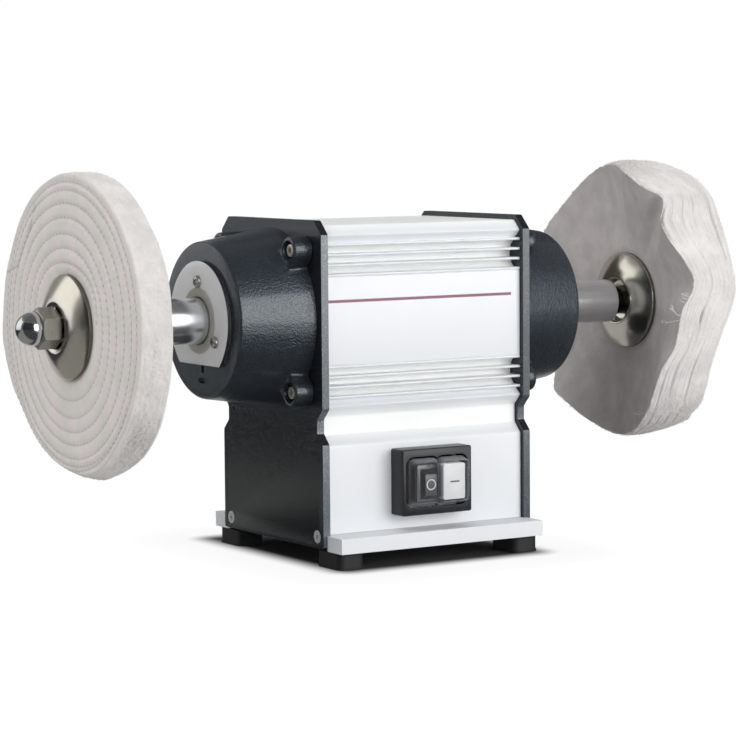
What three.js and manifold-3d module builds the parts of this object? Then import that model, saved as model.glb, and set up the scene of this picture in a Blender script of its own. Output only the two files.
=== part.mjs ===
// A bench polishing machine: a motor in a ribbed extruded housing between two end plates, with a
// cotton buff on each end of its shaft. Millimetres, +Z up, +X along the shaft to the loose buff,
// the switch faces -Y. The origin is on the bench, under the middle of the shaft.
import * as THREE from "three";
import { mergeVertices } from "three/addons/utils/BufferGeometryUtils.js";
import Module from "manifold-3d";

const wasm = await Module();
wasm.setup();

// Clearances, the run of a cut past the face it opens, and the distance at which points are one
const seatGap = 0.2;
const slipGap = 0.3;
const turnGap = 0.4;
const overrun = 1;
const mergeDistance = 1e-4;

// How finely the round forms are cut, as numbers of flat sides
const bellSides = 32;
const tubeSides = 24;
const ringSides = 20;
const screwSides = 8;
const hexSides = 6;
const hexTurn = 30;
const arcSegments = 2;
const boreSteps = 12;
const domeSteps = 5;

// Housing profile, measured from the shaft's centre line unless a name says otherwise
const shaftHeight = 164.4;
const profileLength = 156.2;
const profileHalf = 63.8;
const profileChamfer = 6.8;
const waistInset = 7;
const waistBand = 12.3;
const wall = 3.2;
const boreWall = 5.6;
const throatInset = 12.2;
const throatDrop = 56.4;
const labelRecess = 0.4;

// Cooling ribs: four over and four under the flat label field, standing in a round scoop
const ribCount = 4;
const ribPitch = 6.75;
const ribThickness = 1.8;
const firstRibHeight = 30.6;
const scoopRadius = 10.8;
const scoopCentreDepth = 1.5;
const notchDepth = 5.7;
const floorPoints = 3;

// Side plates: the profile's outline with a lip all round
const plateThickness = 5.4;
const plateLip = 3.4;
const plateBottom = 13.3;
const plateHoleInset = 8.2;
const plateScrewInset = 5.1;
const plateScrewDrop = 1.1;
const plateScrewHead = 4.5;
const plateScrewHeadDepth = 2.4;
const plateScrewShank = 2;
const plateScrewLength = 14;

// Base plate with its two ledges, and the feet under it
const baseBottom = 11.3;
const baseThickness = 10.4;
const baseTopWall = 3;
const ledgeRun = 2.9;
const ledgeReach = 19;
const pocketMarginX = 24.1;
const pocketMarginY = 12.2;
const screwBossHeight = 4.6;
const screwBossLength = 16;
const screwBossWidth = 7;
const footX = 20;
const footY = 30;
const footInsetX = 0.7;
const footInsetY = 4.2;
const footCorner = 5;
const footFlare = 0.8;
const footPeg = 4;
const footPegLength = 5;

// End bells: hollow cones with four lugs, bolted to the side plates
const bellInset = 2.6;
const bellTaper = 8.3;
const bellEdgeRadius = 1.8;
const bellLength = 53;
const bellWall = 4.6;
const bellFaceWall = 6;
const hubRadius = 30;
const hubLipRadius = 19;
const hubLipWidth = 3.5;
const lugInset = 16.4;
const lugRadius = 9.5;
const lugLength = 14;
const lugRecessRadius = 6.4;
const lugRecessDepth = 7;
const capHeadRadius = 4.3;
const capHeadHeight = 5;
const capSocketRadius = 2.3;
const capSocketDepth = 2.6;
const capShankRadius = 2.5;
const capShankReach = 15;
const slotWidth = 2.4;
const slotHeight = 5;
const slotDepth = 2;

// Bearing covers, their screws and the seals
const coverRadius = 40.2;
const coverThickness = 2.5;
const coverFlat = 29.6;
const coverScrewRadius = 26.5;
const coverScrewCount = 3;
const spigotLength = 1.6;
const panHeadRadius = 4.1;
const panHeadHeight = 2.6;
const panShankRadius = 2;
const panShankLength = 8;
const crossWidth = 1.1;
const crossDepth = 1.2;
const sealRadius = 19.2;
const sealProud = 1;

// Ball bearings, one at each end
const bearingRadius = 23.5;
const bearingOuterWall = 5;
const bearingInnerWall = 4.4;
const bearingWidth = 14;

// Rotating parts: shaft, rotor and spacer sleeves
const journalRadius = 10;
const shaftRadius = 12;
const rotorSeatRadius = 14;
const rotorSeatHalf = 60;
const threadRadius = 8;
const threadInNut = 14.6;
const sleeveRadius = 15.5;
const sleeveLength = 64.4;
const shoulderReach = 12.8;
const rotorHalf = 36;
const airGap = 0.6;
const statorHalf = 35;
const statorInner = 32.6;
const windingInset = 4.3;
const windingLength = 18;

// Flanges and nuts that clamp the buffs
const flangeRadius = 35;
const flangeRim = 3;
const flangeLength = 11;
const flangeMouthRadius = 17.9;
const flangeMouthWall = 1.9;
const flangeWeb = 4.8;
const buffHubWidth = 18.2;
const nutFlats = 24;
const jamNutHeight = 6.2;
const capNutHexHeight = 13;
const capNutDome = 11.5;
const capNutNeck = 3.5;
const nutChamfer = 1.4;
const tapDepth = 16;

// Stitched buff: cotton discs sewn together in rows
const buffRadius = 100;
const stitchedSwellIn = 5.1;
const stitchedSwellOut = 0.5;
const buffBore = 8.6;
const buffShoulder = 38;
const rimRound = 3;
const stitchStart = 43;
const stitchPitch = 8.9;
const stitchRows = 6;
const stitchDepth = 0.9;
const stitchedSides = 32;

// Loose buff: cotton discs sewn at the hub only, so that the rim spreads in folds
const looseRadius = 99.4;
const looseSpreadIn = 18.1;
const looseSpreadOut = 2.3;
const looseInnerLean = 10;
const looseOuterLean = 7;
const looseInnerFold = 5;
const looseOuterFold = 3;
const looseRimRipple = 0.6;
const looseFolds = 7;
const looseSides = 56;
const looseLeanAngle = -0.2;
const looseOuterAngle = 0.9;

// Switch: frame, clear boot, two buttons and the module behind
const frameWidth = 55;
const frameHeight = 44.7;
const frameProud = 15;
const frameWall = 2.4;
const frameFrontWall = 2;
const switchRise = 32.55;
const switchShift = -0.6;
const windowWidth = 45;
const windowHeight = 32.6;
const bootWidth = 49.4;
const bootHeight = 36.8;
const bootCorner = 6;
const bootSkin = 0.8;
const stopLobeHeight = 3.6;
const startLobeHeight = 6.4;
const lobeSplit = 0.8;
const buttonPitch = 18.2;
const buttonShift = 1.3;
const buttonWidth = 16.8;
const buttonHeight = 27;
const buttonCorner = 1.6;
const stopFaceWidth = 9.6;
const stopFaceHeight = 14.8;
const stopRise = 3;
const startRise = 5.6;
const buttonSkirt = 1.4;
const buttonTravel = 3;
const stemWidth = 7;
const stemHeight = 11;
const stemLength = 9;
const moduleWidth = 40;
const moduleHeight = 30;
const moduleDepth = 34;
const cutoutMargin = 1.5;

// Start capacitor on its saddle, and the cable gland in the rear wall
const capacitorRadius = 17.5;
const capacitorLength = 64;
const capacitorX = 22;
const saddleHeight = 7;
const saddleWidth = 26;
const saddleLength = 44;
const saddleWall = 2.5;
const glandInset = 32.1;
const glandRise = 22.3;
const glandThread = 8;
const glandFlats = 22;
const glandHexHeight = 5;
const glandDomeRadius = 8.6;
const glandTipRadius = 6;
const glandDomeLength = 13;
const glandBore = 3.6;
const glandReach = 8;

// Sizes and places that follow from those above
const baseTop = baseBottom + baseThickness;
const waistHalf = profileHalf - waistInset;
const cornerHeight = profileHalf - profileChamfer;
const waistTop = -cornerHeight - waistInset;
const waistLow = waistTop - waistBand;
const statorBore = profileHalf - boreWall;
const throatHalf = statorBore - throatInset;
const plateHole = statorBore - plateHoleInset;
const plateScrewY = profileHalf - plateScrewInset;
const plateScrewHeight = baseTop - plateScrewDrop;
const lugOffset = profileHalf - lugInset;
const bellRootRadius = profileHalf - bellInset;
const bellFaceRadius = bellRootRadius - bellTaper;
const windingOuter = statorBore - windingInset;
const windingInner = statorInner + windingInset;
const switchHeight = baseTop + switchRise;
const glandHeight = baseTop + glandRise;
const glandX = glandInset - profileLength / 2;
const plateInner = profileLength / 2 + slipGap;
const plateOuter = plateInner + plateThickness;
const plateHalf = profileHalf + plateLip;
const lipShift = plateLip * Math.tan(Math.PI / 8);
const ledgeHalfLength = profileLength / 2 + ledgeRun;
const ledgeHalfDepth = plateHalf + ledgeReach;
const basePocketX = profileLength / 2 - pocketMarginX;
const basePocketY = ledgeHalfDepth - pocketMarginY;
const bellFoot = plateOuter + seatGap;
const bellFace = bellFoot + bellLength;
const coverBack = bellFace + seatGap;
const coverFront = coverBack + coverThickness;
const bearingBore = bearingRadius + slipGap;
const bearingOuterEnd = coverBack - spigotLength - seatGap;
const bearingInnerEnd = bearingOuterEnd - bearingWidth;
const sleeveStart = bearingOuterEnd + seatGap;
const sleeveEnd = sleeveStart + sleeveLength;
const flangeShoulder = sleeveEnd + shoulderReach;
const innerFlangeFace = flangeShoulder + seatGap + flangeWeb;
const outerFlangeFace = innerFlangeFace + buffHubWidth;
const jamNutStart = outerFlangeFace + flangeWeb + seatGap;
const capNutStart = jamNutStart + jamNutHeight + seatGap;
const threadEnd = capNutStart + threadInNut;
const nutCorner = nutFlats / 2 / Math.cos(Math.PI / hexSides);

// Colours, roughness and metalness of the finishes
const finish = (color, roughness, metalness) =>
  new THREE.MeshStandardMaterial({ color, roughness, metalness });
const whitePaint = finish(0xe9ebee, 0.5, 0);
const hammeredPaint = finish(0x3d4044, 0.5, 0.2);
const bellPaint = finish(0x2f353b, 0.45, 0.2);
const coverPaint = finish(0x85868a, 0.45, 0.4);
const sealFelt = finish(0x6f736c, 0.8, 0);
const satinSteel = finish(0xc9ccd1, 0.3, 1);
const nickel = finish(0xb5b0a6, 0.22, 1);
const chromePlate = finish(0xc8cacd, 0.1, 1);
const zincPlate = finish(0x9a9b98, 0.35, 1);
const darkSteel = finish(0x55524d, 0.4, 1);
const footRubber = finish(0x17181a, 0.7, 0);
const switchBlack = finish(0x3a3b3e, 0.5, 0);
const clearSkin = finish(0x9aa0a4, 0.15, 0);
const blackButton = finish(0x222326, 0.4, 0);
const greyButton = finish(0xd9dcdc, 0.4, 0);
const cotton = finish(0xc9c2bd, 0.95, 0);
const looseCotton = finish(0xcfc9c4, 0.95, 0);
const lamination = finish(0x7d7f82, 0.5, 0.8);
const copper = finish(0xa5562c, 0.4, 0.9);
const moduleBlack = finish(0x202124, 0.6, 0);
const canAluminium = finish(0xb9bcc0, 0.35, 0.9);

const machine = new THREE.Group();

// A closed three.js geometry as a solid that can be cut and joined
function solid(geometry) {
  const bare = geometry.index ? geometry.toNonIndexed() : geometry.clone();
  bare.deleteAttribute("normal");
  bare.deleteAttribute("uv");
  const merged = mergeVertices(bare, mergeDistance);
  return new wasm.Manifold(
    new wasm.Mesh({
      numProp: 3,
      vertProperties: merged.attributes.position.array,
      triVerts: new Uint32Array(merged.index.array),
    }),
  );
}

// Adds a named mesh of a solid to a group
function place(group, name, body, material) {
  const mesh = body.getMesh();
  const geometry = new THREE.BufferGeometry();
  geometry.setAttribute("position", new THREE.BufferAttribute(mesh.vertProperties, 3));
  geometry.setIndex(new THREE.BufferAttribute(mesh.triVerts, 1));
  geometry.computeVertexNormals();
  const part = new THREE.Mesh(geometry, material);
  part.name = name;
  group.add(part);
  return part;
}

// Axes turned in a ring, so that an outline in Y and Z runs along X, or a lathe's axis becomes X
const outlineToX = new THREE.Matrix4().set(0, 0, 1, 0, 1, 0, 0, 0, 0, 1, 0, 0, 0, 0, 0, 1);
const latheToX = new THREE.Matrix4().set(0, 1, 0, 0, 0, 0, 1, 0, 1, 0, 0, 0, 0, 0, 0, 1);
const outlineToY = new THREE.Matrix4().set(1, 0, 0, 0, 0, 0, -1, 0, 0, 1, 0, 0, 0, 0, 0, 1);

function outline(points) {
  return new THREE.Shape(points.map(([a, b]) => new THREE.Vector2(a, b)));
}

function prism(shape, depth) {
  const curveSegments = arcSegments;
  return new THREE.ExtrudeGeometry(shape, { depth, bevelEnabled: false, curveSegments });
}

// A Y-Z outline run along X from one place to another
function alongX(shape, from, to) {
  return solid(prism(shape, to - from).applyMatrix4(outlineToX).translate(from, 0, 0));
}

// An X-Z outline run along Y from one place to a smaller one
function alongY(shape, from, to) {
  return solid(prism(shape, from - to).applyMatrix4(outlineToY).translate(0, from, 0));
}

function alongZ(shape, from, to) {
  return solid(prism(shape, to - from).translate(0, 0, from));
}

function block(lowX, highX, lowY, highY, lowZ, highZ) {
  const box = new THREE.BoxGeometry(highX - lowX, highY - lowY, highZ - lowZ);
  box.translate((lowX + highX) / 2, (lowY + highY) / 2, (lowZ + highZ) / 2);
  return solid(box);
}

// A closed profile of [x, radius] points, counted outwards, turned round the X axis
function turned(profile, sides) {
  const points = profile.map(([x, radius]) => new THREE.Vector2(radius, x));
  return solid(new THREE.LatheGeometry(points, sides).applyMatrix4(latheToX));
}

function ring(inner, outer, from, to, sides) {
  return turned([[from, inner], [from, outer], [to, outer], [to, inner], [from, inner]], sides);
}

function rod(radius, from, to, sides) {
  return turned([[from, 0], [from, radius], [to, radius], [to, 0]], sides);
}

// The radius of a flat-sided hole that a round piece of this radius can pass or turn in
function holeRadius(radius, gap, sides) {
  return (radius + gap) / Math.cos(Math.PI / sides);
}

function roundedRectangle(width, height, corner) {
  const shape = new THREE.Shape();
  const x = width / 2;
  const y = height / 2;
  shape.absarc(x - corner, y - corner, corner, 0, Math.PI / 2);
  shape.absarc(corner - x, y - corner, corner, Math.PI / 2, Math.PI);
  shape.absarc(corner - x, corner - y, corner, Math.PI, Math.PI * 1.5);
  shape.absarc(x - corner, corner - y, corner, Math.PI * 1.5, Math.PI * 2);
  return shape;
}

// A group set on the shaft's centre line; the left one is the right one turned half round
function endGroup(side) {
  const group = new THREE.Group();
  group.position.z = shaftHeight;
  if (side === "left") group.rotation.z = Math.PI;
  machine.add(group);
  return group;
}

// The floor of the ribs' scoop at a height, as a distance from the middle plane
function scoopFloor(height) {
  const middle = firstRibHeight + (ribPitch * (ribCount - 1)) / 2;
  const across = Math.min(Math.abs(height - middle), scoopRadius);
  const reach = Math.sqrt(scoopRadius ** 2 - across ** 2);
  return profileHalf - scoopCentreDepth - reach;
}

// One side of the ribbed field from the label edge up to the corner, heights from the shaft
function ribbedSide() {
  const points = [[profileHalf - labelRecess, firstRibHeight - ribThickness / 2 - labelRecess]];
  const tip = profileHalf - ribThickness / 2;
  for (let rib = 0; rib < ribCount; rib += 1) {
    const height = firstRibHeight + rib * ribPitch;
    const low = height - ribThickness / 2;
    const high = height + ribThickness / 2;
    const rootLow = rib === 0 ? profileHalf - 2 * labelRecess : scoopFloor(low);
    const rootHigh = rib === ribCount - 1 ? profileHalf - notchDepth : scoopFloor(high);
    points.push([rootLow, low], [tip, low], [profileHalf, height], [tip, high], [rootHigh, high]);
    if (rib === ribCount - 1) continue;
    for (let step = 1; step <= floorPoints; step += 1) {
      const share = step / (floorPoints + 1);
      const between = high + share * (ribPitch - ribThickness);
      points.push([scoopFloor(between), between]);
    }
  }
  points.push([profileHalf, cornerHeight]);
  return points;
}

// The extruded housing: ribbed square top, waist and plain foot, open at the bottom
function housingProfile() {
  const ribs = ribbedSide();
  const bottom = baseTop + seatGap - shaftHeight;
  const outer = [[cornerHeight, profileHalf]];
  outer.push(...ribs.map(([y, z]) => [y, z]).reverse());
  outer.push(...ribs.map(([y, z]) => [y, -z]));
  outer.push([waistHalf, waistTop], [waistHalf, waistLow]);
  outer.push([profileHalf, waistLow - waistInset], [profileHalf, bottom]);
  const innerFoot = profileHalf - wall;
  const innerWaist = waistHalf - wall;
  const throatLow = -throatDrop;
  const inner = [[innerFoot, bottom], [innerFoot, waistLow - waistInset - wall / 2]];
  inner.push([innerWaist, waistLow - wall / 2], [innerWaist, throatLow - waistInset]);
  inner.push([throatHalf, throatLow]);
  const start = -Math.acos(throatHalf / statorBore);
  const span = (Math.PI / 2 - start) / boreSteps;
  const boreRadius = statorBore / Math.cos(span / 2);
  for (let step = 0; step <= boreSteps; step += 1) {
    const angle = start + step * span;
    inner.push([boreRadius * Math.cos(angle), boreRadius * Math.sin(angle)]);
  }
  const half = [...outer, ...inner];
  const mirrored = [...outer, ...inner.slice(0, -1)].map(([y, z]) => [-y, z]).reverse();
  let body = alongX(outline([...half, ...mirrored]), -profileLength / 2, profileLength / 2);
  body = body.translate([0, 0, shaftHeight]);
  const hole = holeRadius(capShankRadius, slipGap, screwSides);
  for (const end of [-1, 1]) {
    for (const y of [-lugOffset, lugOffset]) {
      for (const z of [-lugOffset, lugOffset]) {
        const from = profileLength / 2 - capShankReach;
        const drill = rod(hole, from, profileLength / 2 + overrun, screwSides);
        const turn = end < 0 ? 180 : 0;
        body = body.subtract(drill.rotate([0, 0, turn]).translate([0, y, z + shaftHeight]));
      }
    }
  }
  const cutX = moduleWidth / 2 + cutoutMargin;
  const cutZ = moduleHeight / 2 + cutoutMargin;
  body = body.subtract(
    block(switchShift - cutX, switchShift + cutX, -profileHalf - overrun,
      -waistHalf + wall + overrun, switchHeight - cutZ, switchHeight + cutZ),
  );
  const glandHole = holeRadius(glandThread, slipGap, ringSides);
  const bore = rod(glandHole, profileHalf - wall - overrun, profileHalf + overrun, ringSides);
  return body.subtract(bore.rotate([0, 0, 90]).translate([glandX, 0, glandHeight]));
}
place(machine, "housing_profile", housingProfile(), whitePaint);

// The base plate: front and rear ledges run past the side plates, which stand in its notches
function basePlate() {
  const notchY = plateHalf + slipGap;
  const inner = profileLength / 2;
  const corners = [
    [ledgeHalfLength, -ledgeHalfDepth], [ledgeHalfLength, -notchY], [inner, -notchY],
    [inner, notchY], [ledgeHalfLength, notchY], [ledgeHalfLength, ledgeHalfDepth],
  ];
  const mirrored = corners.map(([x, y]) => [-x, -y]);
  let body = alongZ(outline([...corners, ...mirrored]), baseBottom, baseTop);
  body = body.subtract(
    block(-basePocketX, basePocketX, -basePocketY, basePocketY,
      baseBottom - overrun, baseTop - baseTopWall),
  );
  const bossTop = baseTop + screwBossHeight;
  const bossOut = profileHalf - wall - slipGap;
  for (const x of [-1, 1]) {
    for (const y of [-1, 1]) {
      const boss = block(inner - screwBossLength, inner, bossOut - screwBossWidth, bossOut,
        baseTop - overrun, bossTop);
      const shank = holeRadius(plateScrewShank, slipGap, screwSides);
      const reach = plateOuter - plateScrewLength - overrun;
      const drill = rod(shank, reach, inner + overrun, screwSides)
        .translate([0, plateScrewY, plateScrewHeight]);
      const turn = [0, 0, x < 0 ? 180 : 0];
      const flip = x * y < 0 ? [1, -1, 1] : [1, 1, 1];
      body = body.add(boss.scale(flip).rotate(turn));
      body = body.subtract(drill.scale(flip).rotate(turn));
    }
  }
  for (const [x, y] of footPlaces()) {
    const peg = holeRadius(footPeg, slipGap, screwSides);
    const hole = rod(peg, -overrun, footPegLength + overrun, screwSides).rotate([0, -90, 0]);
    body = body.subtract(hole.translate([x, y, baseBottom]));
  }
  const saddle = block(-saddleLength / 2, saddleLength / 2, -saddleWidth / 2, saddleWidth / 2,
    baseTop - overrun, baseTop + saddleHeight);
  const seat = rod(capacitorRadius + slipGap, -saddleLength, saddleLength, tubeSides)
    .translate([0, 0, baseTop + saddleWall + capacitorRadius]);
  return body.add(saddle.subtract(seat).translate([capacitorX, 0, 0]));
}

function footPlaces() {
  const x = ledgeHalfLength - footInsetX - footX / 2;
  const y = ledgeHalfDepth - footInsetY - footY / 2;
  return [[-x, -y], [x, -y], [-x, y], [x, y]];
}
place(machine, "base_plate", basePlate(), whitePaint);

// Rubber feet: rounded blocks that spread a little at the floor, each with a peg in the base
function foot() {
  const height = baseBottom - seatGap;
  const shape = roundedRectangle(footX, footY, footCorner);
  const spread = roundedRectangle(footX + footFlare, footY + footFlare, footCorner);
  const pegRod = rod(footPeg, height - overrun, height + footPegLength, screwSides);
  const lip = alongZ(spread, 0, footFlare * 2);
  return alongZ(shape, 0, height).add(lip).add(pegRod.rotate([0, -90, 0]));
}
const footNames = ["front_left_foot", "front_right_foot", "rear_left_foot", "rear_right_foot"];
footPlaces().forEach(([x, y], index) => {
  place(machine, footNames[index], foot(), footRubber).position.set(x, y, 0);
});

// A side plate: the housing's outline with a lip, a motor opening and its screw holes
function sidePlate() {
  const half = [
    [cornerHeight + lipShift, plateHalf], [plateHalf, cornerHeight + lipShift],
    [plateHalf, -cornerHeight + lipShift], [waistHalf + plateLip, waistTop - lipShift],
    [waistHalf + plateLip, waistLow + lipShift],
    [plateHalf, waistLow - waistInset + lipShift], [plateHalf, plateBottom - shaftHeight],
  ];
  const mirrored = half.map(([y, z]) => [-y, z]).reverse();
  const shape = outline([...half, ...mirrored]);
  let body = alongX(shape, plateInner, plateOuter);
  body = body.subtract(rod(plateHole, plateInner - overrun, plateOuter + overrun, bellSides));
  const shank = holeRadius(capShankRadius, slipGap, screwSides);
  const drill = rod(shank, plateInner - overrun, plateOuter + overrun, screwSides);
  for (const y of [-lugOffset, lugOffset]) {
    for (const z of [-lugOffset, lugOffset]) body = body.subtract(drill.translate([0, y, z]));
  }
  const small = holeRadius(plateScrewShank, slipGap, screwSides);
  const large = holeRadius(plateScrewHead, slipGap, screwSides);
  const sink = turned([
    [plateInner - overrun, 0], [plateInner - overrun, small],
    [plateOuter - plateScrewHeadDepth, small], [plateOuter + seatGap, large],
    [plateOuter + overrun, large], [plateOuter + overrun, 0],
  ], screwSides);
  for (const y of [-plateScrewY, plateScrewY]) {
    body = body.subtract(sink.translate([0, y, plateScrewHeight - shaftHeight]));
  }
  return body;
}

// A countersunk cross screw that holds a side plate to the base
function plateScrew() {
  const top = plateOuter - seatGap;
  const body = turned([
    [plateOuter - plateScrewLength, 0], [plateOuter - plateScrewLength, plateScrewShank],
    [top - plateScrewHeadDepth, plateScrewShank], [top, plateScrewHead], [top, 0],
  ], screwSides);
  return body.subtract(crossRecess(top));
}

function crossRecess(top) {
  const arm = capHeadRadius / 2;
  const half = crossWidth / 2;
  const upright = block(top - crossDepth, top + overrun, -half, half, -arm, arm);
  return upright.add(block(top - crossDepth, top + overrun, -arm, arm, -half, half));
}

// An end bell: a cast cone open to the motor, with the bearing's hub in its face and four lugs
function endBell() {
  const rootX = bellFoot;
  const slope = (bellRootRadius - bellFaceRadius) / bellLength;
  const edgeX = bellFace - bellEdgeRadius;
  const innerRoot = bellRootRadius - bellWall;
  const innerX = bellFace - bellFaceWall;
  const innerRadius = innerRoot - slope * (innerX - rootX);
  const lipX = bearingInnerEnd - seatGap;
  const edge = bellEdgeRadius * (1 - Math.SQRT1_2);
  const bore = holeRadius(bearingRadius, slipGap, bellSides);
  let body = turned([
    [rootX, innerRoot], [rootX, bellRootRadius], [edgeX, bellFaceRadius],
    [bellFace - edge, bellFaceRadius - edge], [bellFace, bellFaceRadius - bellEdgeRadius],
    [bellFace, bore], [lipX, bore], [lipX, hubLipRadius],
    [lipX - hubLipWidth, hubLipRadius], [lipX - hubLipWidth, hubRadius],
    [innerX, hubRadius], [innerX, innerRadius], [rootX, innerRoot],
  ], bellSides);
  const lug = lugSolid();
  const cone = rod(innerRoot, rootX - overrun, rootX + lugLength + overrun, bellSides);
  for (let quarter = 0; quarter < 4; quarter += 1) {
    body = body.add(lug.rotate([quarter * 90, 0, 0]).subtract(cone));
  }
  const recess = holeRadius(capHeadRadius, lugRecessRadius - capHeadRadius, screwSides);
  const shank = holeRadius(capShankRadius, slipGap, screwSides);
  const lugFace = rootX + lugLength;
  const hole = rod(recess, lugFace - lugRecessDepth, lugFace + lugRecessDepth, screwSides)
    .add(rod(shank, rootX - overrun, lugFace, screwSides));
  for (const y of [-lugOffset, lugOffset]) {
    for (const z of [-lugOffset, lugOffset]) body = body.subtract(hole.translate([0, y, z]));
  }
  const tap = rod(holeRadius(panShankRadius, slipGap, screwSides),
    bellFace - panShankLength, bellFace + overrun, screwSides);
  for (const [y, z] of coverScrewPlaces()) body = body.subtract(tap.translate([0, y, z]));
  const slotTop = -coverFlat;
  const notch = block(bellFace - slotDepth, bellFace + overrun, -slotWidth / 2, slotWidth / 2,
    slotTop - slotHeight, slotTop);
  return body.subtract(notch);
}

// One lug: round at its screw, with straight sides that run into the cone
function lugSolid() {
  const reach = lugOffset * Math.SQRT2;
  const shape = new THREE.Shape();
  shape.absarc(reach, 0, lugRadius, -Math.PI / 2, Math.PI / 2);
  shape.lineTo(reach - 2 * lugRadius, lugRadius);
  shape.lineTo(reach - 2 * lugRadius, -lugRadius);
  return alongX(shape, bellFoot, bellFoot + lugLength).rotate([45, 0, 0]);
}

function coverScrewPlaces() {
  const places = [];
  for (let index = 0; index < coverScrewCount; index += 1) {
    const angle = Math.PI / 2 + (index / coverScrewCount) * Math.PI * 2;
    places.push([coverScrewRadius * Math.cos(angle), coverScrewRadius * Math.sin(angle)]);
  }
  return places;
}

// A socket-head screw that holds a bell's lug to the housing
function bellScrew() {
  const seat = bellFoot + lugLength - lugRecessDepth + seatGap;
  const tip = plateOuter - plateThickness - capShankReach + slipGap * 2;
  const top = seat + capHeadHeight;
  const body = turned([
    [tip, 0], [tip, capShankRadius], [seat, capShankRadius], [seat, capHeadRadius],
    [top, capHeadRadius], [top, 0],
  ], screwSides);
  return body.subtract(rod(capSocketRadius, top - capSocketDepth, top + overrun, hexSides));
}

// A bearing cover: a flat disc cut straight at the bottom, with a spigot that holds the bearing
function bearingCover() {
  const bore = holeRadius(sealRadius, slipGap, ringSides);
  const spigot = bearingRadius - slipGap;
  let body = turned([
    [coverBack - spigotLength, bore], [coverBack - spigotLength, spigot], [coverBack, spigot],
    [coverBack, coverRadius], [coverFront, coverRadius], [coverFront, bore],
    [coverBack - spigotLength, bore],
  ], bellSides);
  body = body.subtract(
    block(coverBack - overrun, coverFront + overrun, -coverRadius, coverRadius,
      -coverRadius - overrun, -coverFlat),
  );
  const shank = holeRadius(panShankRadius, slipGap, screwSides);
  const drill = rod(shank, coverBack - overrun, coverFront + overrun, screwSides);
  for (const [y, z] of coverScrewPlaces()) body = body.subtract(drill.translate([0, y, z]));
  return body;
}

// A pan-head cross screw of a bearing cover
function coverScrew() {
  const seat = coverFront + seatGap;
  const top = seat + panHeadHeight;
  const round = panHeadHeight / 3;
  const body = turned([
    [bellFace - panShankLength + slipGap, 0], [bellFace - panShankLength + slipGap, panShankRadius],
    [seat, panShankRadius], [seat, panHeadRadius], [top - round, panHeadRadius],
    [top, panHeadRadius - round], [top, 0],
  ], screwSides);
  return body.subtract(crossRecess(top));
}

// Everything fixed at one end of the housing
function fixedEnd(side) {
  const end = endGroup(side);
  const toFront = side === "left" ? 1 : -1;
  place(end, `${side}_side_plate`, sidePlate(), hammeredPaint);
  for (const row of [-1, 1]) {
    const depth = row * toFront < 0 ? "rear" : "front";
    const screw = place(end, `${side}_${depth}_plate_screw`, plateScrew(), zincPlate);
    screw.position.set(0, row * plateScrewY, plateScrewHeight - shaftHeight);
  }
  place(end, `${side}_end_bell`, endBell(), bellPaint);
  for (const row of [-1, 1]) {
    for (const level of [-1, 1]) {
      const depth = row * toFront < 0 ? "rear" : "front";
      const height = level < 0 ? "lower" : "upper";
      const name = `${side}_bell_screw_${depth}_${height}`;
      place(end, name, bellScrew(), darkSteel).position.set(0, row * lugOffset, level * lugOffset);
    }
  }
  place(end, `${side}_bearing_cover`, bearingCover(), coverPaint);
  coverScrewPlaces().forEach(([y, z], index) => {
    const screw = place(end, `${side}_cover_screw_${index + 1}`, coverScrew(), zincPlate);
    screw.position.set(0, y, z);
  });
  const sealInner = holeRadius(sleeveRadius, turnGap, ringSides);
  const seal = ring(sealInner, sealRadius, bearingOuterEnd + turnGap, coverFront + sealProud,
    ringSides);
  place(end, `${side}_shaft_seal`, seal, sealFelt);
  const outerRace = ring(bearingRadius - bearingOuterWall, bearingRadius,
    bearingInnerEnd, bearingOuterEnd, ringSides);
  place(end, `${side}_bearing_outer_race`, outerRace, chromePlate);
}
fixedEnd("left");
fixedEnd("right");

// Stator, its two end windings and the capacitor
const statorBody = ring(statorInner, statorBore - slipGap, -statorHalf, statorHalf, bellSides);
place(machine, "stator_core", statorBody, lamination).position.z = shaftHeight;
for (const side of ["left", "right"]) {
  const from = statorHalf + seatGap;
  const round = windingLength / 4;
  const to = from + windingLength;
  const coil = turned([
    [from, windingInner], [from, windingOuter], [to - round, windingOuter],
    [to, windingOuter - round], [to, windingInner + round], [to - round, windingInner],
    [from, windingInner],
  ], ringSides);
  place(endGroup(side), `${side}_winding`, coil, copper);
}
const can = rod(capacitorRadius, -capacitorLength / 2, capacitorLength / 2, tubeSides);
place(machine, "run_capacitor", can, canAluminium).position.set(
  capacitorX, 0, baseTop + saddleWall + capacitorRadius + seatGap);

// The cable gland: hexagon and dome outside the rear wall, threaded neck through it
function cableGland() {
  const hexRadius = glandFlats / 2 / Math.cos(Math.PI / hexSides);
  const seat = profileHalf + seatGap;
  const hexEnd = seat + glandHexHeight;
  const body = rod(hexRadius, seat, hexEnd, hexSides)
    .add(rod(glandThread, profileHalf - glandReach, hexEnd, ringSides))
    .add(turned([
      [hexEnd - overrun, 0], [hexEnd - overrun, glandDomeRadius],
      [hexEnd + glandDomeLength / 2, glandDomeRadius],
      [hexEnd + glandDomeLength, glandTipRadius], [hexEnd + glandDomeLength, 0],
    ], ringSides));
  const bore = rod(glandBore, 0, hexEnd + glandDomeLength + overrun, screwSides);
  return body.subtract(bore).rotate([0, 0, 90]);
}
place(machine, "cable_gland", cableGland(), switchBlack).position.set(glandX, 0, glandHeight);

// Switch frame: a shallow box on the front wall with a window for the buttons
const switchGroup = new THREE.Group();
switchGroup.position.set(switchShift, 0, switchHeight);
machine.add(switchGroup);
const frameBack = -profileHalf - seatGap;
const frameFront = frameBack - frameProud;

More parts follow.
